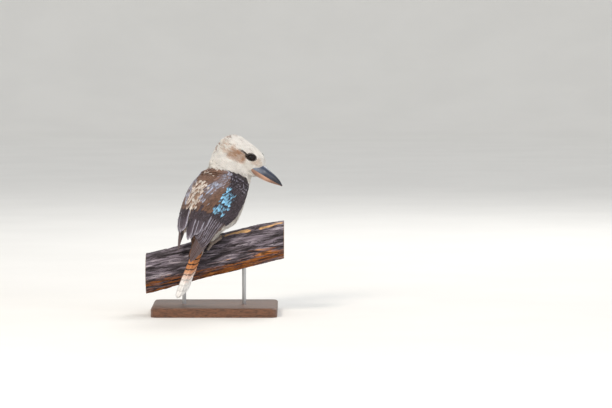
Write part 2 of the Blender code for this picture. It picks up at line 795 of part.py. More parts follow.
def make_foot(foot, skin, horn):
    side = 1 if foot == "right" else -1
    heel = [bark_point(foot, -1.0, 0.0, h) for h in (TOE_RADIUS + 0.4, HEEL_HEIGHT, 13.0)]
    base = tube(f"foot_{foot}", heel, (4.3, 4.0, 3.3), sides=8, material=skin)
    toes, claws = [], []
    for toe in TOES:
        def radius(q):
            return TOE_RADIUS * (1.0 - 0.28 * q)

        def height(q):
            return radius(q) + GAP + 0.15

        line = toe_line(foot, toe, 0.0, 1.0, 4, height)
        toes.append(tube("toe", line, [radius(q) for q in np.linspace(0, 1, 4)], sides=7))
        _, length = TOES[toe]
        reach = 1 + 9.0 / length
        start = 0.94

        def claw_height(q, start=start, reach=reach):
            rise = math.sin(math.pi * (q - start) / (reach - start) * 0.85)
            return 2.5 + 1.6 * rise - 0.7 * (q - start) / (reach - start)

        claw = toe_line(foot, toe, start, reach, 5, claw_height)
        claws.append(tube(f"claw_{foot}_{toe}", claw, (1.9, 1.75, 1.4, 0.95, 0.35), sides=5,
                          material=horn))
    fuse(base, toes)
    for claw in claws:
        clear_of(base, claw)
    return base


def make_leg(foot, below, plumage):
    """The feathered shank, from the belly down to the top of the bare foot."""
    top_of_foot = bark_point(foot, -1.0, 0.0, 13.0)
    side = 1 if foot == "right" else -1
    hip = bird_to_world(np.array([10.0, side * 17.0 - 3.0, 34.0]))
    down = top_of_foot - hip
    down /= np.linalg.norm(down)
    start = top_of_foot - down * GAP
    reach = np.linalg.norm(start - hip)
    steps = np.array([0.0, 0.35, 0.7, 0.9, 1.0])
    line = [hip + down * reach * s for s in steps]
    leg = tube(f"leg_{foot}", line, (13.0, 12.0, 8.5, 5.6, 3.6), sides=12, material=plumage)
    room = loft("body room", body_rings(TORSO_FROM, TORSO_TO, 0.4))
    boolean(leg, room, "DIFFERENCE")
    boolean(leg, make_perch("branch room", GAP + 0.2), "DIFFERENCE")
    return clear_of(leg, below)


def build():
    for old in list(bpy.data.objects):
        bpy.data.objects.remove(old)
    plumage = paint("cream plumage", (0.80, 0.75, 0.68), 0.8)
    wing_brown = paint("brown plumage", (0.14, 0.10, 0.08), 0.7)
    tail_rufous = paint("rufous plumage", (0.55, 0.28, 0.14), 0.7)
    dark_horn = paint("dark horn", (0.05, 0.055, 0.07), 0.4)
    pale_horn = paint("pale horn", (0.62, 0.45, 0.36), 0.45)
    eye = paint("eye", (0.03, 0.02, 0.015), 0.1)
    skin = paint("scaly skin", (0.45, 0.42, 0.36), 0.6)
    bark = paint("weathered bark", (0.16, 0.13, 0.12), 0.9)
    wood = paint("oiled wood", (0.20, 0.11, 0.06), 0.5)
    metal = paint("brushed steel", (0.55, 0.55, 0.56), 0.3, 1.0)

    make_stand(wood, metal, bark)
    make_torso(plumage)
    make_neck(plumage)
    make_head(plumage, eye)
    make_bill(dark_horn, pale_horn)
    make_wing("wing_right", 1, 0.0, 0.0, wing_brown)
    make_wing("wing_left", -1, 22.0, 8.0, wing_brown)
    tail = make_tail(tail_rufous)
    for foot in FEET:
        toes = make_foot(foot, skin, dark_horn)
        leg = make_leg(foot, toes, plumage)
        for part in (toes, leg):
            clear_of(tail, part)
    for made in bpy.data.objects:
        made.data.shade_smooth()
        made.data.set_sharp_from_angle(angle=math.radians(30))


build()
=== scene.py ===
"""Looks of a laughing kookaburra model on a cut branch, built around its packed solids.

Tables of shape are in millimetres and degrees, as in the part's own source, and a mesh is turned
to metres where it is made. The bird's own directions are forward, right and up. A place on its
body is a distance `along` the body's axis (0 at the root of the tail, rising to the neck) and an
angle `around` it (0 on the back, 90 on the bird's right, 180 on the belly). A place on its head is
a distance ahead along the bill, to the right, and up.
"""

import math

import bmesh
import bpy
import numpy as np
from mathutils.bvhtree import BVHTree
from mathutils.kdtree import KDTree
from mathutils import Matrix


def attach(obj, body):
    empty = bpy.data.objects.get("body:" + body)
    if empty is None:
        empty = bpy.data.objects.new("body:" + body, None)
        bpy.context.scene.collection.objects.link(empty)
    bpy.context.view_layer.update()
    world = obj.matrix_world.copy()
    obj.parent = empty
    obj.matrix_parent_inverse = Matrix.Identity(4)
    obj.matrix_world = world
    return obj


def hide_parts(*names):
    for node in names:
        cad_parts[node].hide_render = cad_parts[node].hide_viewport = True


bl_info = {
    "name": "Perched Kookaburra",
    "version": (1, 0, 0),
    "blender": (4, 5, 0),
    "location": "3D View > Sidebar > Kookaburra",
    "description": "Builds the plumage, bare parts, branch and stand of a life-size kookaburra",
    "category": "Object",
}

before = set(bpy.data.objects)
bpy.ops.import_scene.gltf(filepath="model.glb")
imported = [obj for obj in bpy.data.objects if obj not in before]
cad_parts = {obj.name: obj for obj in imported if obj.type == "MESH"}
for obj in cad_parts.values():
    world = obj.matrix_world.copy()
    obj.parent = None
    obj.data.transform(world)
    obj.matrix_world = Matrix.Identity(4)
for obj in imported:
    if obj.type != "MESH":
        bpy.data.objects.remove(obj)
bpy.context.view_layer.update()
MM = 0.001
BODY = "root"

# Where the bird stands and which way it faces
HEADING = 45.0
BODY_AT = np.array([-8.6, -24.0, 150.0])
FORWARD = np.array([math.sin(math.radians(HEADING)), math.cos(math.radians(HEADING)), 0.0])
RIGHT = np.array([FORWARD[1], -FORWARD[0], 0.0])
UP = np.array([0.0, 0.0, 1.0])
# Body axis: along, forward, right, up, and how far the neck has turned to the right
BODY_AXIS = np.array([
    (-180, -94, 0, -126, 0),
    (-166, -88, 0, -113, 0),
    (-110, -62, 0, -64, 0),
    (-55, -36, 0, -18, 0),
    (0, -12, 0, 29, 0),
    (30, 5, 0, 54, 0),
    (60, 23, 0, 79, 0),
    (90, 39, 0, 102, 0),
    (118, 51, 0, 125, 6),
    (142, 57, 0, 147, 34),
    (160, 62, 2, 165, 56),
    (190, 68, 6, 193, 72),
], float)
# Feathered body without its wings: along, back, belly, flank
BODY_SIZE = np.array([
    (-62, 5, 5, 11),
    (-45, 11, 9, 17),
    (-30, 19, 13, 24),
    (-14, 29, 20, 32),
    (0, 38, 30, 39),
    (15, 46, 42, 45),
    (30, 51, 52, 48.5),
    (60, 50, 50, 51),
    (90, 44, 45, 48),
    (118, 42, 45, 43),
    (130, 43, 44, 41),
    (142, 44, 41, 38),
    (154, 42, 36, 36),
    (164, 35, 27, 30),
    (173, 20, 14, 18),
], float)
# Surface that the folded wings lie on: along, back, belly, flank
WING_BED = np.array([
    (-115, 12, 10, 11),
    (-90, 17, 14, 16),
    (-60, 27, 21, 25),
    (-30, 37, 30, 34),
    (0, 45, 39, 42),
    (15, 48, 45, 45.5),
    (30, 51, 52, 48.5),
    (60, 50, 50, 51),
    (90, 44, 45, 48),
    (118, 42, 45, 43),
    (136, 44, 43, 40),
], float)
SECTION_POWER = 2.3

# Head: ahead, centre, above, below, half width
HEAD_TURN, HEAD_DOWN = 118.0, 27.0
HEAD_AT = np.array([98.4, -8.0, 295.0])
HEAD_SIZE = np.array([
    (1.5, -9, 6, 10, 9.5),
    (-5, -4, 13, 24, 13.5),
    (-12, -1, 17, 31, 17.5),
    (-21, 1, 19.5, 35, 22.5),
    (-35, 1, 22.5, 37, 28.5),
    (-48, 0, 24.5, 39, 32.5),
    (-62, -2, 27.5, 40, 34.5),
    (-76, -5, 31, 40, 34.5),
    (-88, -10, 34.5, 36, 32),
    (-98, -17, 32, 30, 27),
    (-106, -24, 24, 22, 20),
    (-111, -28, 10, 9, 9),
], float)
# Bill: ahead, half width, ridge, mouth line, underside
BILL_SIZE = np.array([
    (-25, 13, -3, -12.5, -19),
    (-18, 16.5, -1, -12.5, -23),
    (-9, 15.6, 0, -13, -25.5),
    (0, 13.6, 0, -13.5, -26),
    (12, 11, -1.6, -14.3, -25.6),
    (26, 7.8, -4, -15.2, -23.6),
    (38, 5.0, -7, -15.7, -20.8),
    (47, 2.7, -10.5, -15.9, -18.4),
    (54, 0.7, -15, -16.4, -17.2),
], float)
BILL_BACK, BILL_LENGTH = BILL_SIZE[0, 0], BILL_SIZE[-1, 0] - BILL_SIZE[0, 0]
NOSTRIL_AT, NOSTRIL_REACH, NOSTRIL_DEPTH = (7.0, -6.8), (3.4, 1.3), 1.1
EYE_AT, EYE_RADIUS, EYE_LOOK = (-24.8, 18.7, 7.4), 7.0, (0.43, 0.88, 0.2)

# Folded wing: where its arm starts and ends on the body, by angle round it
ARM_ROUND = np.arange(15.0, 106.0, 15.0)
ARM_FRONT = np.array([98.0, 106.0, 112.0, 117.0, 118.5, 116.0, 108.0])
ARM_REAR = np.array([46.0, 38.0, 32.0, 28.0, 28.0, 34.0, 44.0])
WINGS = {"right": (1, 0.0, 0.0), "left": (-1, 22.0, 8.0)}  # side, droop, lift

# Branch and feet
PERCH_HALF_LENGTH, PERCH_HEIGHT, PERCH_SLOPE = 138.0, 115.4, 0.2357
PERCH_RADIUS, PERCH_TAPER = 39.0, -0.006
FEET = {"right": (1.0, -50.0), "left": (-23.0, -12.0)}
TOES = {"inner": (-26.0, 19.0), "middle": (2.0, 27.0), "outer": (22.0, 22.0), "hind": (180.0, 17.0)}
TOE_RADIUS, TOE_TAPER, CLAW_REACH = 3.2, 0.28, 9.0
JOINT_SPACING, SCUTE_LENGTH = 7.0, 2.1


# Curves and surfaces


def smooth_through(table, at):
    """The columns of a table after the first, joined by smooth curves and read at each `at`."""
    knots, values = table[:, 0], table[:, 1:]
    if knots[0] > knots[-1]:
        knots, values = knots[::-1], values[::-1]
    slopes = np.gradient(values, knots, axis=0)
    at = np.clip(np.atleast_1d(np.asarray(at, float)), knots[0], knots[-1])
    i = np.clip(np.searchsorted(knots, at) - 1, 0, len(knots) - 2)
    span = (knots[i + 1] - knots[i])[:, None]
    x = (at[:, None] - knots[i][:, None]) / span
    return (
        values[i] * (2 * x**3 - 3 * x**2 + 1)
        + slopes[i] * span * (x**3 - 2 * x**2 + x)
        + values[i + 1] * (3 * x**2 - 2 * x**3)
        + slopes[i + 1] * span * (x**3 - x**2)
    )


def ease(x):
    """A smooth step from 0 to 1 as x goes from 0 to 1."""
    x = np.clip(x, 0.0, 1.0)
    return x * x * (3 - 2 * x)


def inside(value, low, high, soft):
    """1 between low and high, falling smoothly to 0 over `soft` outside them."""
    return ease((value - low) / soft + 1) * ease((high - value) / soft + 1)


def ripple(points, size, seed):
    """Smooth random values, mostly from -1 to 1, that vary over about `size` millimetres."""
    rng = np.random.default_rng(seed)
    waves = rng.normal(size=(10, 3)) * (3.2 / size)
    phases = rng.uniform(0, 2 * math.pi, 10)
    return np.sin(points @ waves.T + phases).mean(-1) * 2.2


def rounded(value):
    """Cosine or sine of an angle, bent so that the section is a little boxier than an ellipse."""
    return np.sign(value) * np.abs(value) ** (2 / SECTION_POWER)


def unit(vectors):
    return vectors / np.maximum(np.linalg.norm(vectors, axis=-1, keepdims=True), 1e-9)


def bird_to_world(points):
    return BODY_AT + points @ np.array([FORWARD, RIGHT, UP])


def on_body(sizes, along, around):
    """Points on the surface that `sizes` gives round the body axis, in the bird's directions."""
    along, around = np.broadcast_arrays(np.asarray(along, float), np.asarray(around, float))
    t, a = along.ravel(), np.radians(around.ravel())
    place = smooth_through(BODY_AXIS, t)
    ahead = unit((smooth_through(BODY_AXIS, t + 1) - smooth_through(BODY_AXIS, t - 1))[:, :3])
    turn = np.radians(place[:, 3])
    to_right = np.stack([-np.sin(turn), np.cos(turn), np.zeros(len(turn))], axis=1)
    to_back = unit(np.cross(ahead, to_right))
    back, belly, flank = smooth_through(sizes, t).T
    high = rounded(np.cos(a))
    lift = np.where(high > 0, back, belly) * high
    points = place[:, :3] + to_back * lift[:, None]
    points += to_right * (flank * rounded(np.sin(a)))[:, None]
    return points.reshape(*along.shape, 3)


def above_body(sizes, along, around, height):
    """Points at a height over that surface, in the world."""
    along, around, height = np.broadcast_arrays(along, around, np.asarray(height, float))
    here = on_body(sizes, along, around)
    d_along = on_body(sizes, along + 1, around) - on_body(sizes, along - 1, around)
    d_round = on_body(sizes, along, around + 1.5) - on_body(sizes, along, around - 1.5)
    out = unit(np.cross(d_along, d_round))
    return bird_to_world(here + out * height[..., None])


def above_tail(along, across, height):
    """Points beside and over the tail's axis, in the world."""
    along, across, height = np.broadcast_arrays(along, across, height)
    t = along.ravel()
    place = smooth_through(BODY_AXIS, t)[:, :3]
    ahead = unit((smooth_through(BODY_AXIS, t + 1) - smooth_through(BODY_AXIS, t - 1))[:, :3])
    to_right = np.array([0.0, 1.0, 0.0])
    to_back = unit(np.cross(ahead, to_right))
    points = place + to_back * height.ravel()[:, None] + to_right * across.ravel()[:, None]
    return bird_to_world(points).reshape(*along.shape, 3)


def head_axes():
    """The head's own directions in the world: ahead along the bill, to its right, and up."""
    turn, down = math.radians(HEAD_TURN), math.radians(HEAD_DOWN)
    ahead = np.array([
        math.sin(turn) * math.cos(down), math.cos(turn) * math.cos(down), -math.sin(down)
    ])
    right = np.array([math.cos(turn), -math.sin(turn), 0.0])
    return np.array([ahead, right, np.cross(right, ahead)])


def head_to_world(points):
    return HEAD_AT + np.asarray(points, float) @ head_axes()


def world_to_head(points):
    return (np.asarray(points, float) - HEAD_AT) @ head_axes().T


def eye_centre(side):
    ahead, out, high = EYE_AT
    return head_to_world([ahead, side * out, high])


def eye_look(side):
    """The direction that an eye looks in."""
    return unit((np.array(EYE_LOOK) * (1, side, 1)) @ head_axes())


def perch_axis(x):
    """The middle of the branch at x: a slope with two slow bends."""
    x = np.asarray(x, float)
    bend = 2.0 * np.sin(x / 58 + 0.6)
    return np.stack([x, 1.5 * np.sin(x / 47), PERCH_HEIGHT + PERCH_SLOPE * x + bend - 1.1], axis=-1)


def perch_radius(x, turn):
    """Half width of the branch at x, by the angle from its top away from the bird's back."""
    x, turn = np.asarray(x, float), np.asarray(turn, float)
    a = np.radians(turn)
    radius = PERCH_RADIUS + PERCH_TAPER * x
    radius = radius + 1.1 * np.sin(2 * a + x / 40) + 0.7 * np.sin(3 * a - x / 23)
    return radius + 5.0 * np.exp(-(((x - 86) / 15) ** 2) - ((turn - 52) / 30) ** 2)


def on_perch(x, turn, height=0.0):
    """Points at a height over the bark."""
    slope = 1 / math.hypot(1, PERCH_SLOPE)
    lean = np.array([-PERCH_SLOPE * slope, 0.0, slope])
    a = np.radians(turn)
    reach = perch_radius(x, turn) + height
    over = (np.cos(a) * reach)[..., None] * lean
    beside = (np.sin(a) * reach)[..., None] * np.array([0.0, 1.0, 0.0])
    return perch_axis(x) + over + beside


def bark_point(foot, ahead, aside, height):
    """A point over the bark, measured from a foot towards the bird's front and right."""
    x, turn = FEET[foot]
    go_x, go_y = FORWARD[0], FORWARD[1]
    x = x + ahead * go_x + aside * go_y
    turn = turn + math.degrees((ahead * go_y - aside * go_x) / PERCH_RADIUS)
    return on_perch(np.float64(x), np.float64(turn), height)


# Meshes


def make_mesh(name, points, faces):
    """A mesh from points in millimetres, its faces turned outwards."""
    mesh = bpy.data.meshes.new(name)
    mesh.from_pydata((np.asarray(points, float) * MM).tolist(), [], faces)
    shape = bmesh.new()
    shape.from_mesh(mesh)
    bmesh.ops.remove_doubles(shape, verts=shape.verts, dist=1e-7)
    bmesh.ops.recalc_face_normals(shape, faces=shape.faces)
    shape.to_mesh(mesh)
    shape.free()
    mesh.shade_smooth()
    return mesh


def add_piece(name, mesh, finish=None, slot=None, replaced=()):
    """Puts a finished mesh in the scene as one piece of the model."""
    piece = bpy.data.objects.new(name, mesh)
    bpy.context.scene.collection.objects.link(piece)
    if finish:
        mesh.materials.clear()
        mesh.materials.append(finish)
    if slot:
        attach(piece, BODY)
    if replaced:
        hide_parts(*replaced)
    return piece


def evaluated_mesh(piece, name):
    """The mesh of an object with its modifiers applied."""
    bpy.context.view_layer.update()
    graph = bpy.context.evaluated_depsgraph_get()
    mesh = bpy.data.meshes.new_from_object(piece.evaluated_get(graph))
    mesh.name = name
    return mesh


def grid_faces(rows, columns, close_rows=False, close_columns=False):
    """The quads of a grid of points, joined round on itself where a direction is closed."""
    faces = []
    for i in range(rows if close_rows else rows - 1):
        here, above = i * columns, (i + 1) % rows * columns
        for j in range(columns if close_columns else columns - 1):
            k = (j + 1) % columns
            faces.append((here + j, here + k, above + k, above + j))
    return faces


def loft(rings):
    """Points and faces of a closed body through rings of points."""
    sides = len(rings[0])
    points = np.concatenate([*rings, [rings[0].mean(0)], [rings[-1].mean(0)]])
    first, last = len(points) - 2, len(points) - 1
    faces = grid_faces(len(rings), sides, close_columns=True)
    start = (len(rings) - 1) * sides
    for j in range(sides):
        faces.append((first, (j + 1) % sides, j))
        faces.append((last, start + j, start + (j + 1) % sides))
    return points, faces


def join_shapes(shapes):
    """Points and faces of several shapes, each given as its points and faces."""
    points, faces, base = [], [], 0
    for some_points, some_faces in shapes:
        points.append(some_points)
        faces += [tuple(i + base for i in face) for face in some_faces]
        base += len(some_points)
    return np.concatenate(points), faces


def tube(centres, radii, sides):
    """A round bar through points, with its own radius at each."""
    centres = np.asarray(centres, float)
    turns = np.linspace(0, 2 * math.pi, sides, endpoint=False)
    rings = []
    for centre, radius, ahead in zip(centres, radii, unit(np.gradient(centres, axis=0))):
        side = unit(np.cross(ahead, UP if abs(ahead[2]) < 0.9 else FORWARD))
        over = np.cross(side, ahead)
        rings.append(centre + np.outer(np.cos(turns) * radius, side)
                     + np.outer(np.sin(turns) * radius, over))
    return loft(rings)


def resample(points, count):
    """`count` points evenly along a smooth curve through the given ones."""
    points = np.asarray(points, float)
    table = np.column_stack([np.linspace(0, 1, len(points)), points])
    return smooth_through(table, np.linspace(0, 1, count))


def set_values(mesh, name, kind, domain, values):
    """Stores values on a mesh under a name."""
    keys = {"FLOAT_COLOR": "color", "FLOAT_VECTOR": "vector", "FLOAT2": "vector"}
    layer = mesh.attributes.new(name, kind, domain)
    layer.data.foreach_set(keys.get(kind, "value"), np.asarray(values).ravel())


def with_alpha(colours):
    return np.concatenate([colours, np.ones((len(colours), 1))], axis=1)


# Colours and materials


def linear(code):
    """A colour's linear values, from its sRGB hex code."""
    values = np.array([int(code[i:i + 2], 16) for i in (0, 2, 4)]) / 255
    return np.where(values <= 0.04045, values / 12.92, ((values + 0.055) / 1.055) ** 2.4)


def per_metre(count, millimetres):
    """A pattern's scale, from how many of its marks lie along so many millimetres."""
    return count / (millimetres * MM)


def set_stops(colours, stops):
    """Makes a colour ramp run smoothly through (place, colour) stops."""
    colours.interpolation = "EASE"
    while len(colours.elements) < len(stops):
        colours.elements.new(0.5)
    for element, (place, colour) in zip(colours.elements, stops):
        element.position = place
        element.color = (*colour, 1.0)


def add_node(tree, kind, settings=None, **inputs):
    """Adds a node with its settings, and a value or a link for each of its inputs.

    Settings that are one word are the node's operation. An input is named by its words joined
    by _, or by in_ and its number. A link comes from a socket, or from a node, which stands for
    the first of its outputs in use.
    """
    node = tree.nodes.new(kind)
    if isinstance(settings, str):
        settings = {"operation": settings}
    for key, value in (settings or {}).items():
        if key == "stops":
            set_stops(node.color_ramp, value)
        else:
            setattr(node, key, value)
    for key, value in inputs.items():
        if key.startswith("in_"):
            socket = node.inputs[int(key[3:])]
        else:
            wanted = key.replace("_", " ").lower()
            socket = next(s for s in node.inputs if s.name.lower() == wanted and s.enabled)
        if isinstance(value, bpy.types.Node):
            value = next(output for output in value.outputs if output.enabled)
        if isinstance(value, bpy.types.NodeSocket):
            tree.links.new(value, socket)
        elif socket.type == "RGBA":
            socket.default_value = (*value, 1.0)
        else:
            socket.default_value = value
    return node


def new_material(name):
    """An empty material, its node tree, and the place on the object that its patterns follow."""
    material = bpy.data.materials.new(name)
    material.use_nodes = True
    tree = material.node_tree
    tree.nodes.clear()
    return material, tree, add_node(tree, "ShaderNodeTexCoord").outputs["Object"]


def add_surface(tree, relief=None, **inputs):
    """Ends a material with its shader, and a bump for a relief of (height, strength, depth)."""
    if relief:
        height, strength, depth = relief
        inputs["normal"] = add_node(
            tree, "ShaderNodeBump", height=height, strength=strength, distance=depth
        )
    shader = add_node(tree, "ShaderNodeBsdfPrincipled", **inputs)
    add_node(tree, "ShaderNodeOutputMaterial", surface=shader)


FEATHER_VALUES = {
    "Tone": "Color", "Trim": "Color", "Trim_side": "Fac", "Trim_tip": "Fac", "Trim_half": "Fac",
    "Shaft": "Fac", "Bars": "Fac",
}
BARB_SLANT = 0.22
# The trim shows where its reach plus the fleck pass a start, and fades in over a soft stretch
TRIM_START, TRIM_SOFT = 1.35, 0.2
# Bars over the length of a tail feather, and where in each the dark part starts
TAIL_BARS, BAR_START, BAR_SOFT = 11.0, 0.7, 1 / 9
# The shaft's line, as parts of half the web's width
SHAFT_EDGE, SHAFT_CORE = 0.09, 0.0275


def feather_finish(name, barbs, roughness, shaft=0.5, bars=False):
    """Keratin feather web: matt, with fine slanting barbs, a shaft and a trimmed edge.

    A feather carries its own two colours, and how far the second reaches in from the sides, back
    from the tip and over one half. `barbs` is how many show along one side: real ones are a few
    tenths of a millimetre apart, too fine for the render, so these are coarser, most of all on
    the long quills.
    """
    material, tree, place = new_material(name)
    vane = add_node(tree, "ShaderNodeUVMap", {"uv_map": "Vane"})
    across, down, _ = add_node(tree, "ShaderNodeSeparateXYZ", vector=vane).outputs
    carried = {
        key: add_node(tree, "ShaderNodeAttribute", {"attribute_name": key}).outputs[output]
        for key, output in FEATHER_VALUES.items()
    }
    slow = add_node(tree, "ShaderNodeTexNoise", vector=place, scale=per_metre(7, 100), detail=2.0)
    from_shaft = add_node(tree, "ShaderNodeMath", "MULTIPLY_ADD", in_0=across, in_1=2.0, in_2=-1.0)
    from_shaft = add_node(tree, "ShaderNodeMath", "ABSOLUTE", in_0=from_shaft)

    # Barbs slant out from the shaft towards the tip, and markings run along them in streaks
    slant = add_node(tree, "ShaderNodeMath", "MULTIPLY", in_0=from_shaft, in_1=-BARB_SLANT * barbs)
    slant = add_node(tree, "ShaderNodeMath", "MULTIPLY_ADD",
                     in_0=down, in_1=float(barbs), in_2=slant)
    along_barb = add_node(tree, "ShaderNodeCombineXYZ", x=across, y=slant)
    shifted = add_node(tree, "ShaderNodeVectorMath", "MULTIPLY_ADD",
                       in_0=place, in_1=(60.0, 60.0, 60.0), in_2=along_barb)
    fleck = add_node(tree, "ShaderNodeTexNoise", vector=shifted, scale=1.3, detail=4.0,
                     roughness=0.7)

    # The trim ends in a ragged line
    reach = 0.0
    for run, key in ((from_shaft, "Trim_side"), (down, "Trim_tip"), (across, "Trim_half")):
        run = add_node(tree, "ShaderNodeMath", "ADD", in_0=run, in_1=carried[key])
        reach = add_node(tree, "ShaderNodeMath", "MAXIMUM", in_0=reach, in_1=run)
    reach = add_node(tree, "ShaderNodeMath", "MULTIPLY_ADD", in_0=fleck, in_1=0.7, in_2=reach)
    trimmed = add_node(tree, "ShaderNodeMapRange",
                       in_0=reach, in_1=TRIM_START, in_2=TRIM_START + TRIM_SOFT)
    colour = add_node(tree, "ShaderNodeMix", {"data_type": "RGBA"},
                      in_0=trimmed, in_6=carried["Tone"], in_7=carried["Trim"])
    if bars:
        # Dark bars across the tail, wavy and broken at the shaft, and fainter on the white end
        wave = add_node(tree, "ShaderNodeMath", "MULTIPLY_ADD",
                        in_0=down, in_1=TAIL_BARS, in_2=-0.175)
        for run, share in ((fleck, 0.35), (from_shaft, 0.1)):
            wave = add_node(tree, "ShaderNodeMath", "MULTIPLY_ADD", in_0=run, in_1=share, in_2=wave)
        wave = add_node(tree, "ShaderNodeMath", "FRACT", in_0=wave)
        bar = add_node(tree, "ShaderNodeMapRange",
                       in_0=wave, in_1=BAR_START, in_2=BAR_START + BAR_SOFT)
        faint = add_node(tree, "ShaderNodeMath", "MULTIPLY_ADD", in_0=trimmed, in_1=-0.8, in_2=1.0)
        for share in (carried["Bars"], faint):
            bar = add_node(tree, "ShaderNodeMath", "MULTIPLY", in_0=bar, in_1=share)
        colour = add_node(tree, "ShaderNodeMix", {"data_type": "RGBA"},
                          in_0=bar, in_6=colour, in_7=linear("1E1614"))

    barb = add_node(tree, "ShaderNodeMath", "MULTIPLY", in_0=slant, in_1=2 * math.pi)
    barb = add_node(tree, "ShaderNodeMath", "SINE", in_0=barb)
    shaft_line = add_node(tree, "ShaderNodeMapRange",
                          in_0=from_shaft, in_1=SHAFT_EDGE, in_2=SHAFT_CORE)
    dark_shaft = add_node(tree, "ShaderNodeMath", "MULTIPLY", in_0=carried["Shaft"], in_1=-shaft)
    # Barbs, slow changes of tone and the shaft each lighten or darken the colour
    shade = 0.775
    for part, share in ((barb, 0.05), (slow, 0.45), (shaft_line, dark_shaft)):
        shade = add_node(tree, "ShaderNodeMath", "MULTIPLY_ADD", in_0=part, in_1=share, in_2=shade)
    colour = add_node(tree, "ShaderNodeVectorMath", "SCALE", in_0=colour, scale=shade)
    height = add_node(tree, "ShaderNodeMath", "MULTIPLY_ADD", in_0=shaft_line, in_1=2.0, in_2=barb)
    add_surface(
        tree, (height, 0.35, 0.2 * MM), base_color=colour, roughness=roughness, ior=1.54,
        specular_ior_level=0.35, sheen_weight=0.05, sheen_roughness=0.5,
    )
    return material


# Markings


def make_body_map():
    """A search tree over the body's surface, with the place and the coat's lie at each entry."""
    along, around = np.meshgrid(
        np.arange(-62.0, 174.0, 2.0), np.arange(-180.0, 180.0, 3.0), indexing="ij"
    )
    points = above_body(BODY_SIZE, along, around, 0.0).reshape(-1, 3)
    back = above_body(BODY_SIZE, along - 1, around, 0.0).reshape(-1, 3)
    front = above_body(BODY_SIZE, along + 1, around, 0.0).reshape(-1, 3)
    tree = KDTree(len(points))
    for i, point in enumerate(points):
        tree.insert(point, i)
    tree.balance()
    return tree, along.ravel(), around.ravel(), unit(back - front)


BODY_MAP = make_body_map()


def body_place(points):
    """How far along and round the body each point is, and the direction towards the tail there."""
    tree, along, around, lie = BODY_MAP
    found = np.array([tree.find(point)[1] for point in points])
    return along[found], around[found], lie[found]


def blend(one, two, amount):
    return one + (two - one) * amount


def mix(base, colour, amount):
    """Colours laid over others, by an amount for each that is kept between 0 and 1."""
    return blend(base, colour, np.clip(amount, 0, 1)[:, None])


def body_markings(points, plumage, wobble, speck):
    """The body's colour at each point, and how strong the feathers' streaks are."""
    along, around, _ = body_place(points)
    side = np.abs(around)
    white = np.tile(linear("ECE6DF"), (len(points), 1))
    colour = mix(white, np.array(plumage.cream), inside(along, 118, 250, 25))
    # Brown back below the collar, paler and speckled down the middle
    collar = 99 + 0.3 * np.clip(side - 8, 0, 70) + 2.5 * wobble
    back = ease((collar - along) / 5 + 0.5) * inside(side, -1, 104, 10)
    mantle = np.tile(np.array(plumage.mantle), (len(points), 1))
    brown = mix(mantle, linear("A5836E"), 0.5 + 0.6 * wobble)
    buff = inside(along, -30, 62, 14) * inside(around, -42, 10, 10)
    brown = mix(brown, linear("E2D2C0"), buff * ease(0.72 + 0.7 * speck))
    colour = mix(colour, brown, back)
    # Sides of the breast: brown streaks beside the wing, faint bars on the white
    flank = inside(side, 94, 112, 8) * inside(along, 20, 104, 14)
    colour = mix(colour, linear("A98C79"), 0.75 * flank * ease(0.6 + speck))
    colour = mix(colour, linear("B9AFA9"), 0.3 * inside(along, -20, 118, 10) * ease(speck - 0.2))
    # Rump and the small feathers over the tail's root
    rump = inside(along, -80, -22, 10) * inside(side, -1, 100, 12)
    colour = mix(colour, linear("7A5A48"), rump)
    return colour, 0.1 + 0.25 * inside(along, 118, 250, 20) + 0.5 * back


def head_markings(points, plumage, colour, speck):
    """The body's colours with the markings of the head laid over them."""
    ahead, right, up = world_to_head(points).T
    face = inside(np.abs(right), 12, 60, 5) * (up > -32)
    ear = inside(ahead, -62, -36, 9) * inside(up, -9, 7, 6) * face
    colour = mix(colour, np.array(plumage.ear), ear * (0.78 + 0.3 * speck))
    # The ear patch fades out behind
    fade = inside(ahead, -88, -60, 10) * inside(up, -4, 10, 8) * face
    colour = mix(colour, linear("C7A78F"), 0.6 * fade * ease(0.6 + speck))
    # Line behind the eye, the small feathers before it, and its dark surround
    line_up = 9.5 + 0.08 * (-30 - ahead)
    line = inside(ahead, -44, -28, 10) * inside(up, line_up - 0.8, line_up + 0.6, 1.8) * face
    colour = mix(colour, linear("3A2A24"), line)
    lore = inside(ahead, -22, -4, 5) * inside(up, -2, 9, 4) * (np.abs(right) > 6)
    colour = mix(colour, linear("C2A68F"), 0.55 * lore * ease(0.7 + speck))
    eye_out = np.hypot((ahead - EYE_AT[0]) / 1.45, up - EYE_AT[2])
    colour = mix(colour, linear("2A1D19"), inside(eye_out, 0, 6.9, 1.3) * face)
    # Brown tips on the rear crown and nape, and grey specks on the crown
    crown_tip = inside(ahead, -110, -82, 4) * inside(up, 17, 40, 5)
    nape = inside(ahead, -125, -98, 6) * inside(up, -20, -2, 6)
    tips = np.maximum(crown_tip, nape) * ease(0.25 + 1.2 * speck)
    colour = mix(colour, linear("8E5A42"), 0.85 * tips)
    crown = inside(up, 12, 60, 6) * inside(ahead, -110, -8, 5)
    return mix(colour, linear("D3CAC3"), 0.5 * crown * ease(speck))


def markings(points, plumage):
    """The colour of the small feathers and the skin at each point, and how strong their streaks."""
    wobble, speck = ripple(points, 14, 1), ripple(points, 5, 2)
    colour, streak = body_markings(points, plumage, wobble, speck)
    return head_markings(points, plumage, colour, speck), np.clip(streak, 0, 1)


# Skin


# Feathered shank: its radii from the hip down, and how deep its coat is at each
LEG_RADII = (13.0, 12.0, 8.5, 5.6, 3.6)
LEG_COAT = (2.0, 2.0, 1.6, 1.3, 0.6)


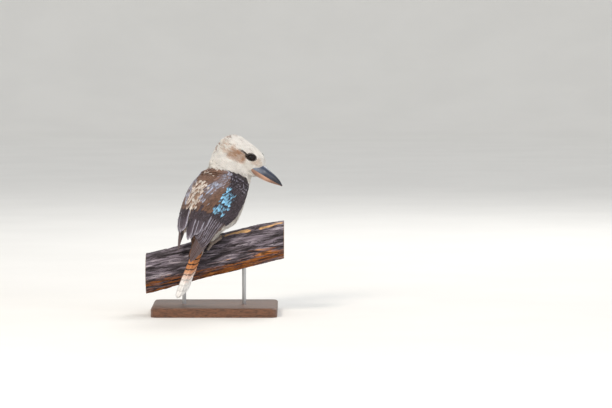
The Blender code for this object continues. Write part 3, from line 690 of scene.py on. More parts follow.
def leg_line(foot):
    """The middle of a feathered shank, from inside the belly to the top of the bare foot."""
    side = 1 if foot == "right" else -1
    hip = bird_to_world(np.array([10.0, side * 17.0 - 3.0, 34.0]))
    end = bark_point(foot, -1.0, 0.0, 12.0)
    steps = np.array([0.0, 0.35, 0.7, 0.9, 1.0])[:, None]
    return hip + (end - hip) * steps


def head_ring(ahead, turns, grow):
    """A ring of points round the head, `grow` outside its surface."""
    centre, above, below, half = smooth_through(HEAD_SIZE, ahead)[0]
    up = rounded(np.cos(turns))
    return head_to_world(np.stack([
        np.full(len(turns), ahead),
        (half + grow) * rounded(np.sin(turns)),
        centre + (np.where(up > 0, above, below) + grow) * up,
    ], axis=1))


SKIN_VOXEL = 1.7


def skin_mesh(depth):
    """One closed skin over head, neck, body and thighs, `depth` under the tips of the coat."""
    turns = np.linspace(0, 360, 48, endpoint=False)
    body = [above_body(BODY_SIZE, t, turns, -depth) for t in np.linspace(-61, 172, 54)]
    turns = np.radians(turns)
    places = 1.0 - 111.0 * ease(np.linspace(0.06, 0.97, 30))
    # The coat thins out to almost nothing where the face meets the bill
    insets = depth * (0.25 + 0.75 * ease((-4 - places) / 26))
    head = [head_ring(ahead, turns, -inset) for ahead, inset in zip(places, insets)]
    shank = np.array(LEG_RADII) - LEG_COAT
    shapes = [loft(body), loft(head), *(tube(leg_line(foot), shank, sides=20) for foot in FEET)]
    rough = bpy.data.objects.new("Rough skin", make_mesh("Rough skin", *join_shapes(shapes)))
    bpy.context.scene.collection.objects.link(rough)
    remesh = rough.modifiers.new("One surface", "REMESH")
    remesh.mode = "VOXEL"
    remesh.voxel_size = SKIN_VOXEL * MM
    remesh.use_smooth_shade = True
    soften = rough.modifiers.new("Soften joins", "SMOOTH")
    soften.factor = 0.5
    soften.iterations = 14
    mesh = evaluated_mesh(rough, "skin")
    bpy.data.objects.remove(rough)
    return mesh


def mesh_points(mesh):
    points = np.empty(len(mesh.vertices) * 3)
    mesh.vertices.foreach_get("co", points)
    return points.reshape(-1, 3) / MM


def skin_finish():
    """Skin under feathers: matt and soft, in the colour of the down that hides it."""
    material, tree, place = new_material("Downy skin")
    tone = add_node(tree, "ShaderNodeAttribute", {"attribute_name": "Tone"})
    down = add_node(tree, "ShaderNodeTexNoise", vector=place, scale=per_metre(9, 10), detail=4.0)
    shade = add_node(tree, "ShaderNodeMapRange", in_0=down, in_3=0.65, in_4=1.0)
    colour = add_node(tree, "ShaderNodeVectorMath", "SCALE", in_0=tone, scale=shade)
    add_surface(tree, (down, 0.6, 0.5 * MM), base_color=colour, roughness=0.85,
                specular_ior_level=0.2)
    return material


# Small feathers


def blade(root, reach, lean, half_width, rows, arch, full):
    """A closed, thin, pointed leaf in the unit feather: its points, faces and place on the vane.

    It springs from `root`, leans by degrees to one side, and is widest further out the higher
    `full` is.
    """
    q = np.linspace(0, 1, rows + 1)
    lean = math.radians(lean)
    middle = np.stack([
        root[0] + reach * q * math.sin(lean), root[1] + reach * q * math.cos(lean),
        arch * np.sin(math.pi * np.clip(q * 0.9 + 0.05, 0, 1)),
    ], axis=1)
    width = half_width * np.sin(math.pi * np.clip(0.12 + 0.88 * q**full, 0, 1)) ** 0.7
    across = np.array([math.cos(lean), -math.sin(lean), 0.0])
    thick = np.array([0.0, 0.0, BLADE_THICKNESS / 2])
    points, vane = [], []
    for i in range(rows):
        side = across * width[i]
        for offset, u in ((-side, 0.0), (thick, 0.5), (side, 1.0), (-thick, 0.5)):
            points.append(middle[i] + offset)
            vane.append((u, q[i]))
    points.append(middle[-1])
    vane.append((0.5, 1.0))
    faces = [(0, 3, 2, 1), *grid_faces(rows, 4, close_columns=True)]
    last = (rows - 1) * 4
    for j in range(4):
        faces.append((last + j, last + (j + 1) % 4, rows * 4))
    return np.array(points), faces, vane


# Blades of each unit feather: root, reach, lean in degrees, half width, rows, arch, fullness
FEATHER_SHAPES = {
    # Round-ended contour feathers of the back
    "Contour feather": [
        ((0, 0), 1.0, 0, 0.21, 5, 0.05, 1.45), ((0, 0.1), 0.86, 9, 0.12, 3, 0.03, 1.2),
    ],
    "Split contour feather": [
        ((-0.03, 0), 1.0, -5, 0.13, 4, 0.05, 1.4), ((0.03, 0), 0.95, 6, 0.13, 4, 0.045, 1.4),
    ],
    # Loose, narrow feathers of the rest of the body
    "Loose feather": [
        ((0, 0), 1.0, 0, 0.085, 3, 0.05, 1.0), ((-0.04, 0), 0.86, -11, 0.07, 3, 0.04, 1.0),
        ((0.04, 0), 0.9, 10, 0.07, 3, 0.045, 1.0),
    ],
    "Narrow feather": [
        ((0, 0), 1.0, 3, 0.1, 4, 0.06, 1.1), ((0.02, 0.1), 0.72, -12, 0.07, 3, 0.03, 1.0),
    ],
}
BLADE_THICKNESS = 0.028
# How deep a root sits in the skin, and a feather's share of the width of the unwrap
ROOT_DEPTH, FEATHER_PATCH = 0.35, 0.003


def feather_collection():
    """The unit feathers, one long each along +Y, in the order of FEATHER_SHAPES."""
    group = bpy.data.collections.new("Unit feathers")
    for number, (name, blades) in enumerate(FEATHER_SHAPES.items()):
        parts = [blade(*values) for values in blades]
        points, faces = join_shapes([part[:2] for part in parts])
        vane = np.concatenate([part[2] for part in parts])
        mesh = bpy.data.meshes.new(name)
        mesh.from_pydata(points.tolist(), [], faces)
        mesh.shade_smooth()
        corners = np.array([loop.vertex_index for loop in mesh.loops])
        set_values(mesh, "Vane", "FLOAT2", "CORNER", vane[corners])
        group.objects.link(bpy.data.objects.new(f"{number} {name}", mesh))
    return group


def coat_tree():
    """Nodes that put a unit feather on every point, as real mesh with its patch of the unwrap."""
    tree = bpy.data.node_groups.new("Coat of feathers", "GeometryNodeTree")
    sockets = (
        ("Roots", "INPUT", "Geometry"), ("Unit feathers", "INPUT", "Collection"),
        ("Finish", "INPUT", "Material"), ("Patch", "INPUT", "Float"),
        ("Size variation", "INPUT", "Float"), ("Seed", "INPUT", "Int"),
        ("Coat", "OUTPUT", "Geometry"),
    )
    for name, way, kind in sockets:
        tree.interface.new_socket(name=name, in_out=way, socket_type=f"NodeSocket{kind}")
    given = add_node(tree, "NodeGroupInput").outputs
    stored = {
        name: add_node(tree, "GeometryNodeInputNamedAttribute", {"data_type": kind}, name=name)
        for name, kind in (("Turn", "FLOAT_VECTOR"), ("Size", "FLOAT_VECTOR"), ("Shape", "INT"),
                           ("Vane", "FLOAT_VECTOR"), ("Root_place", "FLOAT_VECTOR"))
    }
    choice = add_node(
        tree, "GeometryNodeCollectionInfo",
        collection=given["Unit feathers"], separate_children=True, reset_children=True,
    )
    least, most = (
        add_node(tree, "ShaderNodeMath", operation, in_0=1.0, in_1=given["Size variation"])
        for operation in ("SUBTRACT", "ADD")
    )
    vary = add_node(tree, "FunctionNodeRandomValue", {"data_type": "FLOAT"},
                    min=least, max=most, seed=given["Seed"])
    size = add_node(tree, "ShaderNodeVectorMath", "SCALE", in_0=stored["Size"], scale=vary)
    turn = add_node(tree, "FunctionNodeEulerToRotation", euler=stored["Turn"])
    placed = add_node(
        tree, "GeometryNodeInstanceOnPoints", points=given["Roots"], instance=choice,
        pick_instance=True, instance_index=stored["Shape"], rotation=turn, scale=size,
    )
    real = add_node(tree, "GeometryNodeRealizeInstances", geometry=placed)
    # A feather's patch of the unwrap lies round its root's place on the unwrapped skin
    patch = add_node(tree, "ShaderNodeVectorMath", "SUBTRACT",
                     in_0=stored["Vane"], in_1=(0.5, 0.5, 0.5))
    patch = add_node(tree, "ShaderNodeVectorMath", "SCALE", in_0=patch, scale=given["Patch"])
    patch = add_node(tree, "ShaderNodeVectorMath", "ADD", in_0=stored["Root_place"], in_1=patch)
    unwrapped = add_node(
        tree, "GeometryNodeStoreNamedAttribute", {"data_type": "FLOAT2", "domain": "CORNER"},
        geometry=real, name="OFBake", value=patch,
    )
    done = add_node(tree, "GeometryNodeSetMaterial", geometry=unwrapped, material=given["Finish"])
    add_node(tree, "NodeGroupOutput", coat=done)
    return tree


def run_tree(tree, mesh, name, values):
    """Runs a node tree on a mesh and gives the result as a plain mesh."""
    holder = bpy.data.objects.new(name, mesh)
    bpy.context.scene.collection.objects.link(holder)
    nodes = holder.modifiers.new("Nodes", "NODES")
    nodes.node_group = tree
    for item in tree.interface.items_tree:
        if item.in_out == "INPUT" and item.name in values:
            nodes[item.identifier] = values[item.name]
    made = evaluated_mesh(holder, name)
    bpy.data.objects.remove(holder)
    return made


def turns_for(pointing, out):
    """Euler angles that turn a unit feather's +Y along `pointing` and its +Z outwards."""
    y = unit(pointing)
    x = unit(np.cross(y, out))
    z = np.cross(x, y)
    return np.stack([
        np.arctan2(y[:, 2], z[:, 2]),
        -np.arcsin(np.clip(x[:, 2], -1, 1)),
        np.arctan2(x[:, 1], x[:, 0]),
    ], axis=1)


def skin_unwrap(points):
    """Each point's place on the unwrapped skin: the body on its left half, the head right."""
    along, around, _ = body_place(points)
    ahead, right, up = world_to_head(points).T
    on_head = (up > -34) & (ahead > -112)
    middle = smooth_through(HEAD_SIZE, ahead)[:, 0]
    turn = np.degrees(np.arctan2(right, up - middle))
    body = np.stack([0.02 + 0.46 * (around + 180) / 360, 0.02 + 0.96 * (along + 62) / 235], axis=1)
    head = np.stack([0.52 + 0.46 * (turn + 180) / 360, 0.02 + 0.96 * (ahead + 112) / 114], axis=1)
    return np.clip(np.where(on_head[:, None], head, body), 0.005, 0.995)


def leg_distance(points):
    """How far each point is from the nearer shank's middle, and how far down the shank."""
    best, down = np.full(len(points), 1e9), np.zeros(len(points))
    for foot in FEET:
        line = leg_line(foot)
        start, run = line[0], line[-1] - line[0]
        q = np.clip((points - start) @ run / (run @ run), 0, 1)
        away = np.linalg.norm(points - start - q[:, None] * run, axis=1)
        down = np.where(away < best, q, down)
        best = np.minimum(away, best)
    return best, down


# Length of the small feathers: by the distance ahead on the head, and along the body
HEAD_COAT = np.array([
    (-112, 15), (-95, 15), (-80, 13), (-62, 10), (-45, 8), (-30, 6), (-18, 4.4), (-8, 3.4),
    (0, 2.6),
])
BODY_COAT = np.array([
    (-62, 18), (-30, 19), (0, 19), (60, 18), (105, 16), (130, 15), (160, 13), (175, 12),
])


def coat_shape(points):
    """Length, standing height of the tip and region of the feathers at each point."""
    along, around, lie = body_place(points)
    ahead, _, up = world_to_head(points).T
    head_part = ease((up + 40) / 14) * (ahead > -116)
    head_length = np.interp(ahead, *HEAD_COAT.T)
    crest = inside(ahead, -112, -72, 10) * inside(up, 8, 60, 8)
    head_length = head_length * (1 + 0.25 * crest)
    body_length = np.interp(along, *BODY_COAT.T)
    length = body_length + (head_length - body_length) * head_part
    shoulder = inside(along, 110, 126, 5) * inside(np.abs(around), -1, 96, 10)
    height = 0.1 * length + 0.35 + 1.6 * crest + 4.8 * shoulder * (1 - head_part)
    away, down = leg_distance(points)
    shank = (away < 15) & (down > 0.45)
    length = np.where(shank, 10 - 4.5 * down, length)
    height = np.where(shank, 1.0, height)
    backwards = -head_axes()[0]
    flow = lie + (backwards - lie) * head_part[:, None]
    legs = unit(leg_line("right")[-1] - leg_line("right")[0])
    flow = np.where(shank[:, None], legs, flow)
    side = np.abs(around)
    region = np.select(
        [shank, (head_part > 0.5) & (ahead > -40), (head_part > 0.5) & (up > 0), head_part > 0.5,
         along > 118, side < 98, along > 45],
        ["thighs", "face", "crown", "cheeks", "collar", "back", "breast"], "belly",
    )
    return length, height, flow, region


TRIES_FOR_EACH = 4


def scatter_roots(mesh, spacing_factor, seed):
    """Roots spread over a skin mesh, closer together where the feathers are shorter."""
    mesh.calc_loop_triangles()
    points = mesh_points(mesh)
    corners = np.empty(len(mesh.loop_triangles) * 3, int)
    mesh.loop_triangles.foreach_get("vertices", corners)
    corners = corners.reshape(-1, 3)
    a, b, c = (points[corners[:, i]] for i in range(3))
    facing = np.cross(b - a, c - a)
    area = np.linalg.norm(facing, axis=1) / 2
    length = coat_shape((a + b + c) / 3)[0]
    wanted = area / (spacing_factor * length) ** 2
    rng = np.random.default_rng(seed)
    tries = int(wanted.sum() * TRIES_FOR_EACH)
    picked = rng.choice(len(area), tries, p=wanted / wanted.sum())
    u, v = rng.random((2, len(picked)))
    flip = u + v > 1
    u, v = np.where(flip, 1 - u, u), np.where(flip, 1 - v, v)
    roots = a[picked] + (b - a)[picked] * u[:, None] + (c - a)[picked] * v[:, None]
    out = unit(facing[picked])
    spacing = spacing_factor * length[picked]
    tree = KDTree(len(roots))
    for i, root in enumerate(roots):
        tree.insert(root, i)
    tree.balance()
    kept = np.ones(len(roots), bool)
    for i, root in enumerate(roots):
        if kept[i]:
            for _, j, _ in tree.find_range(root, spacing[i]):
                if j > i:
                    kept[j] = False
    return roots[kept], out[kept]


def near_eye(points, margin):
    """Where a point lies within `margin` of an eyeball."""
    away = np.minimum(*(np.linalg.norm(points - eye_centre(side), axis=1) for side in (-1, 1)))
    return away < EYE_RADIUS + margin


def bare(points):
    """Where no small feather grows: the eye, the bill's root, and under the folded wings."""
    ahead, right, up = world_to_head(points).T
    half, ridge, _, under = smooth_through(BILL_SIZE, ahead).T
    bill = (ahead > -20) & (np.abs(right) < half - 0.7) & (up < ridge - 0.8) & (up > under + 0.6)
    along, around, _ = body_place(points)
    side = np.abs(around)
    wing = (along > -20) & (along < 92) & (side > 32) & (side < 86)
    return near_eye(points, 1.1) | bill | wing


def lay_feathers(skin, plumage, rng):
    """Roots, outward directions, tips and regions of the small feathers laid over the skin."""
    roots, out = scatter_roots(skin.data, plumage.spacing, plumage.seed)
    grows = ~bare(roots)
    roots, out = roots[grows], out[grows]
    length, height, flow, region = coat_shape(roots)
    flow = unit(flow - out * (flow * out).sum(1, keepdims=True))
    sideways = np.cross(out, flow)
    flow = unit(flow + sideways * rng.normal(0, 0.12, (len(roots), 1)))
    # Tips rest a little above the skin further down
    surface = BVHTree.FromObject(skin, bpy.context.evaluated_depsgraph_get())
    tips = np.empty_like(roots)
    for i, place in enumerate(roots + flow * length[:, None]):
        found, normal, _, _ = surface.find_nearest(place * MM)
        tips[i] = np.array(found) / MM + np.array(normal) * height[i]
    clear = ~near_eye(tips, 0.5)
    return roots[clear], out[clear], tips[clear], region[clear]


# Large feathers


WEB_COLUMNS = 7  # points across a wing feather


def web(place, root, tip, half_width, heights, tilt, rows, columns, blunt, rng):
    """One large feather: a closed thin web from root to tip, split and frayed a little.

    `place` turns (along, across, height) into points, `half_width` is in the units of across,
    and the tip rounds off from `blunt`, a part of the length.
    """
    q = np.concatenate([
        np.linspace(0, blunt, rows - rows // 2, endpoint=False),
        blunt + (1 - blunt) * np.sin(np.linspace(0, math.pi / 2, rows // 2 + 1)),
    ])[:, None]
    full = 0.55 + 0.45 * ease(q / 0.35)
    end = np.sqrt(np.clip(1 - (np.clip(q - blunt, 0, 1) / (1 - blunt)) ** 2, 0, 1))
    edge = np.linspace(-1, 1, columns)[None, :]
    width = half_width * full * np.maximum(end, 0.12)
    fray = 1 + rng.normal(0, 0.04, (len(q), columns)) * (np.abs(edge) > 0.6)
    for _ in range(rng.integers(0, 3)):
        row = rng.integers(len(q) // 2, len(q) - 1)
        fray[row, 0 if rng.random() < 0.5 else -1] = rng.uniform(0.72, 0.86)
    # Barbs end unevenly round the tip
    ragged = rng.normal(0, 1.1, columns) * ease((q - 0.5 * blunt) / 0.4)
    along = root[0] + (tip[0] - root[0]) * q + ragged
    across = root[1] + (tip[1] - root[1]) * q + width * edge * fray
    height = heights[0] + (heights[1] - heights[0]) * q + tilt * edge * width / half_width
    height = height - 0.4 * edge**2 * (width / half_width)
    thick = (0.62 - 0.25 * q) * (1 - 0.6 * np.abs(edge))
    top = place(along, across, height + thick / 2).reshape(-1, 3)
    under = place(along, across, height - thick / 2)[1:-1, 1:-1].reshape(-1, 3)
    # The underside shares the rim's points
    below = np.arange(len(top)).reshape(len(q), columns)
    below[1:-1, 1:-1] = len(top) + np.arange(len(under)).reshape(len(q) - 2, columns - 2)
    quads = grid_faces(len(q), columns)
    faces = quads + [tuple(int(below.flat[k]) for k in reversed(quad)) for quad in quads]
    vane = np.stack(np.broadcast_arrays(edge / 2 + 0.5, q), axis=-1)
    inner_vane = vane[1:-1, 1:-1].reshape(-1, 2)
    vane = np.concatenate([vane.reshape(-1, 2), inner_vane])
    return np.concatenate([top, under]), faces, vane


def join_webs(name, webs, looks, finish, slot, replaced=()):
    """One piece from many webs, each with its own colours and its own patch of the unwrap."""
    points, faces = join_shapes([one[:2] for one in webs])
    mesh = bpy.data.meshes.new(name)
    mesh.from_pydata((points * MM).tolist(), [], faces)
    mesh.shade_smooth()
    counts = [len(one[0]) for one in webs]
    vane = np.concatenate([one[2] for one in webs])
    corners = np.empty(len(mesh.loops), int)
    mesh.loops.foreach_get("vertex_index", corners)
    cells = math.ceil(math.sqrt(len(webs)))
    order = np.repeat(np.arange(len(webs)), counts)
    origin = np.stack([order % cells, order // cells], axis=1) / cells
    set_values(mesh, "Vane", "FLOAT2", "CORNER", vane[corners])
    patch = origin + (0.05 + 0.9 * vane) / cells
    set_values(mesh, "OFBake", "FLOAT2", "CORNER", patch[corners])
    for key in ("Tone", "Trim"):
        values = with_alpha(np.array([look[key] for look in looks]))
        set_values(mesh, key, "FLOAT_COLOR", "POINT", np.repeat(values, counts, axis=0))
    for key in ("Trim_side", "Trim_tip", "Trim_half", "Shaft", "Bars"):
        values = np.array([look.get(key, 0.0) for look in looks], float)
        set_values(mesh, key, "FLOAT", "POINT", np.repeat(values, counts))
    return add_piece(name, mesh, finish, slot, replaced)


def degrees_for(width, along):
    """The angle round the wing's bed that a width covers there."""
    back, _, flank = smooth_through(WING_BED, along)[0]
    return math.degrees(width / (0.5 * (back + flank)))


def wing_look(along, around, rng, plumage):
    """The colours of one covert or shoulder feather, by where its tip lies."""
    mantle, streak = np.array(plumage.mantle), np.array(plumage.pale_streak_and_sheen)
    along, around = along + rng.normal(0, 2.5), around + rng.normal(0, 2.0)
    shade = rng.uniform(0.75, 1.25)
    look = {"Tone": linear("3A2E34") * shade, "Trim": linear("8F8794"), "Trim_side": 0.12,
            "Trim_tip": 0.05, "Shaft": 0.6}
    shoulder = around > 50 and along > 72
    blue = 6 < along < 70 and 53 < around < 57 + 24 * math.sin(0.045 * (along - 2))
    if shoulder:
        look.update(Tone=linear("2B2126") * shade, Trim=linear("A39DAC"),
                    Trim_tip=rng.uniform(0.04, 0.26), Trim_side=rng.uniform(0.0, 0.2))
    elif blue:
        look.update(Tone=linear("2C2530"), Trim=np.array(plumage.blue) * rng.uniform(0.8, 1.25),
                    Trim_tip=rng.uniform(0.15, 0.42), Trim_side=rng.uniform(0.0, 0.4))
    elif around < 54 and along > 2:
        if around < 12 and along < 66:
            return mantle_look(along, around - 12, rng, plumage)
        # A band of bluish white outer edges curves down from the shoulder to the middle, and a
        # painted bluish sheen washes the brown along it
        band = 40 - 0.0052 * (95 - along) ** 2 if along < 95 else 48
        near = math.exp(-(((around - band) / 13) ** 2))
        brown = blend(mantle, linear("7D5A45"), rng.uniform(0, 1)) * shade
        brown *= 0.7 + 0.3 * float(ease((along - 20) / 60))
        # Painted sheen: the band's bluish white washed into the brown tone
        look.update(Tone=blend(brown, streak, 0.22 * near), Trim=linear("8A6852"),
                    Trim_side=0.1, Trim_tip=0.08)
        if rng.random() < 0.95 * near:
            look.update(Trim=blend(streak, brown, rng.uniform(0.0, 0.5)),
                        Trim_half=rng.uniform(0.2, 0.6), Trim_tip=rng.uniform(0.0, 0.3))
    return look


def mantle_look(along, around, rng, plumage):
    """The colours of one feather down the middle of the back: brown, with broad cream edges."""
    buff = math.exp(-(((around + 6) / 17) ** 2)) * float(ease((74 - along) / 34))
    brown = np.array(plumage.mantle) * rng.uniform(0.75, 1.2)
    look = {"Tone": blend(brown, linear("A98A72"), buff * rng.uniform(0.0, 0.8)),
            "Trim": linear("8E6C57"), "Trim_side": 0.12, "Trim_tip": 0.08, "Shaft": 0.8}
    if rng.random() < 0.2 + 0.8 * buff:
        cream = blend(linear("EBE0D6"), brown, rng.uniform(0.0, 0.35))
        look.update(Trim=cream, Trim_side=rng.uniform(0.3, 0.8), Trim_tip=rng.uniform(0.1, 0.5))
    return look


class Tiers:
    """Collects large feathers row by row, from the lowest tier up, with their looks."""

    def __init__(self, side, lift, seed):
        self.side, self.lift = side, lift
        self.rng = np.random.default_rng(seed)
        self.webs, self.looks = [], []

    def place(self, along, around, height):
        return above_body(WING_BED, along, self.side * around, height)

    def add(self, count, roots, tips, width, heights, tilt, rows, blunt, look, shift=0.0):
        """A row: roots and tips are (along..., around first, around last), evenly spread."""
        rng = self.rng
        knots_from = np.linspace(0, 1, len(roots) - 2)
        knots_to = np.linspace(0, 1, len(tips) - 2)
        for s in (np.arange(count) + shift) / (count - 1):
            root = (np.interp(s, knots_from, roots[:-2]) + rng.normal(0, 1.2),
                    blend(roots[-2], roots[-1], s))
            tip = (np.interp(s, knots_to, tips[:-2]) + rng.normal(0, 1.1),
                   blend(tips[-2], tips[-1], s) + rng.normal(0, 0.7))
            rise = self.lift * float(np.clip((30 - tip[0]) / 90, 0, 1))
            rise += rng.uniform(-0.25, 0.25)
            across = degrees_for(width * rng.uniform(0.92, 1.08), 0.5 * (root[0] + tip[0]))
            self.webs.append(web(
                self.place, root, tip, across, (heights[0], heights[1] + rise), tilt, rows,
                WEB_COLUMNS, blunt, rng,
            ))
            self.looks.append(look(*tip))


def wing_tiers(side, droop, lift, plumage):
    """Every large feather of one folded wing."""
    tiers = Tiers(side, lift, 11 if side > 0 else 12)
    rng = tiers.rng

    def quill(tone, edge, trim_side, trim_tip=0.03):
        def look(*_):
            return {"Tone": linear(tone) * rng.uniform(0.85, 1.15), "Trim": linear(edge),
                    "Trim_side": trim_side, "Trim_tip": trim_tip, "Shaft": 0.9}
        return look

    def covert(along, around):
        return wing_look(along, around, rng, plumage)

    # Primaries, then the secondaries over them, then the innermost and widest
    low = droop
    tiers.add(8, roots=(36, 46, 70, 96), tips=(low - 84, low - 92, low - 88, low - 74, 28, 64),
              width=6.6, heights=(2.2, 2.6), tilt=2.0, rows=20, blunt=0.84,
              look=quill("5C4846", "9C8F92", 0.2))
    tiers.add(9, roots=(42, 40, 38, 84), tips=(low - 38, low - 56, 28, 66),
              width=6.6, heights=(4.2, 5.2), tilt=2.0, rows=18, blunt=0.84,
              look=quill("43353A", "C2BBCA", 0.24))
    low = 0.7 * droop
    tiers.add(4, roots=(50, 46, 16, 44), tips=(low - 49, low - 45, low - 34, low - 26, 8, 44),
              width=9.4, heights=(5.6, 7.4), tilt=1.8, rows=18, blunt=0.8,
              look=quill("453B44", "D0CAD8", 0.26, 0.1))
    # Greater coverts, long and dark
    tiers.add(11, roots=(44, 52, 34, 96), tips=(0, 2, 6, 32, 92),
              width=5.6, heights=(5.2, 7.8), tilt=1.4, rows=14, blunt=0.7,
              look=quill("30262D", "857C88", 0.14, 0.06))
    # Rows of smaller coverts up to the bend of the wing
    for row, tip in enumerate(np.arange(10.0, 98.0, 7.2)):
        top = 7.0 + 2.6 * math.sin(math.pi * min(1.0, (tip + 30) / 150))
        front = min(tip + 27, 118)
        root_height = top - 2.4 if front < 106 else 0.2
        tiers.add(13, roots=(front, front + 2, 36, 98), tips=(tip, tip + 4, 34, 95),
                  width=4.2 - 0.06 * row, heights=(root_height, top), tilt=0.6, rows=12,
                  blunt=0.5, shift=0.5 * (row % 2), look=covert)
    # Scapulars: rows from the shoulder down over the inner wing
    for row, tip in enumerate(np.arange(-10.0, 98.0, 7.5)):
        top = 8.6 + 1.2 * math.sin(math.pi * (tip + 20) / 130)
        front = min(tip + 33, 118)
        root_height = top - 2.7 if front < 104 else 0.2
        tiers.add(8, roots=(front, front + 3, 8, 50), tips=(tip, tip + 3, 7, 48),
                  width=4.9, heights=(root_height, top), tilt=0.6, rows=13,
                  blunt=0.52, shift=0.5 * (row % 2), look=covert)
    return tiers


def mantle_tiers(plumage):
    """Feathers down the middle of the back, over the inner edges of both wings."""
    tiers = Tiers(1, 0.0, 13)

    def look(along, around):
        return mantle_look(along, around, tiers.rng, plumage)

    for row, tip in enumerate(np.arange(-34.0, 104.0, 7.5)):
        top = 3.2 + 6.4 * float(ease((tip + 40) / 60)) * float(ease((118 - tip) / 30))
        front = min(tip + 32, 121)
        root_height = max(top - 2.9, 0.2) if front < 110 else 0.0
        tiers.add(7, roots=(front, front, -22, 16), tips=(tip, tip, -23, 17),
                  width=4.8, heights=(root_height, top), tilt=0.4, rows=13,
                  blunt=0.52, shift=0.5 * (row % 2), look=look)
    return tiers


def wing_pad(side):
    """The wing's arm under its coverts, so that no gap shows between them."""
    v = np.linspace(0.02, 0.98, 9)[:, None]
    along = (ARM_FRONT - 3) * (1 - v) + (ARM_REAR + 2) * v
    rows, columns = along.shape
    around = np.broadcast_to(ARM_ROUND, along.shape)
    from_side = np.minimum(np.arange(columns), np.arange(columns)[::-1])
    edge = np.minimum(1, from_side / 1.6 + 0.1)
    crown = np.sin(math.pi * np.clip(v, 0.04, 0.97) ** 0.75) ** 0.6
    top = above_body(WING_BED, along, side * around, 0.8 + 5.6 * crown * edge)
    under = above_body(WING_BED, along, side * around, -1.5)
    points = np.concatenate([top.reshape(-1, 3), under.reshape(-1, 3)])
    base = rows * columns
    faces = []
    for a, b, c, d in grid_faces(rows, columns):
        faces.append((a, b, c, d))
        faces.append((base + a, base + d, base + c, base + b))
    rim = [*range(columns)]
    rim += [i * columns + columns - 1 for i in range(1, rows)]
    rim += [(rows - 1) * columns + j for j in range(columns - 2, -1, -1)]
    rim += [i * columns for i in range(rows - 2, 0, -1)]
    for a, b in zip(rim, rim[1:] + rim[:1]):
        faces.append((a, base + a, base + b, b))
    return points, faces


TAIL_COVERTS = (  # heights of root and tip, place of the tip, tone, edge
    ((3.4, 4.4), -84.0, "8A5A3E", "2A1D19"),
    ((-3.4, -6.6), -76.0, "E4DCD4", "B9AFA9"),
)


def tail_webs(plumage):
    """Twelve tail feathers and the coverts over and under their roots, with their looks."""
    rng = np.random.default_rng(21)
    webs, looks = [], []
    rufous = np.array(plumage.rufous)
    for pair in range(6):
        for side in (-1, 1):
            order = pair + 0.5
            depth = -1.15 * pair - (0.55 if side < 0 else 0.0)
            webs.append(web(
                above_tail, root=(-34.0, side * order * 1.1),
                tip=(-166 + 0.62 * order**2, side * order * 1.35), half_width=8.4,
                heights=(1.5 + depth * 0.6, 2.5 + depth), tilt=-1.1 * side, rows=26, columns=9,
                blunt=0.92, rng=rng,
            ))
            looks.append({"Tone": rufous * rng.uniform(0.9, 1.1), "Trim": linear("F5F2EF"),
                          "Trim_side": 0.03, "Trim_tip": 0.45, "Shaft": 0.5, "Bars": 1.0})
    for heights, reach, tone, edge in TAIL_COVERTS:
        for across in 3.4 * np.arange(-3, 4):
            webs.append(web(
                above_tail, root=(-36.0, across), tip=(reach + 0.6 * abs(across), across * 0.95),
                half_width=4.6, heights=heights, tilt=0.4, rows=10, columns=5, blunt=0.66,
                rng=rng,
            ))
            looks.append({"Tone": linear(tone), "Trim": linear(edge), "Trim_side": 0.1,
                          "Trim_tip": 0.22, "Shaft": 0.4, "Bars": 0.4})
    return webs, looks


# Bare parts


def bill_half(upper):
    """One half of the bill: a rounded roof or keel over or under the mouth line."""
    turns = np.linspace(0, math.pi, 37)
    rings = []
    # Rings stand closer together towards the two ends
    for ahead in BILL_BACK + BILL_LENGTH * ease(np.linspace(0, 1, 44)):
        half, ridge, mouth, underside = smooth_through(BILL_SIZE, ahead)[0]
        edge = mouth + (0.12 if upper else -0.12)
        far = ridge if upper else underside
        across = half * np.cos(turns)
        high = edge + (far - edge) * np.sin(turns) ** 0.9
        if upper:
            # A slit nostril on each side, under a low fold
            dent = np.exp(-(((ahead - NOSTRIL_AT[0]) / NOSTRIL_REACH[0]) ** 2)
                          - ((high - NOSTRIL_AT[1]) / NOSTRIL_REACH[1]) ** 2)
            across = across - np.sign(across) * NOSTRIL_DEPTH * dent
            # The cutting edge bulges a little over the lower half
            across = across + np.sign(across) * 0.25 * np.exp(-((high - edge) / 1.2) ** 2)
        rings.append(head_to_world(np.stack([np.full(len(turns), ahead), across, high], axis=1)))
    return make_mesh("bill", *loft(rings))


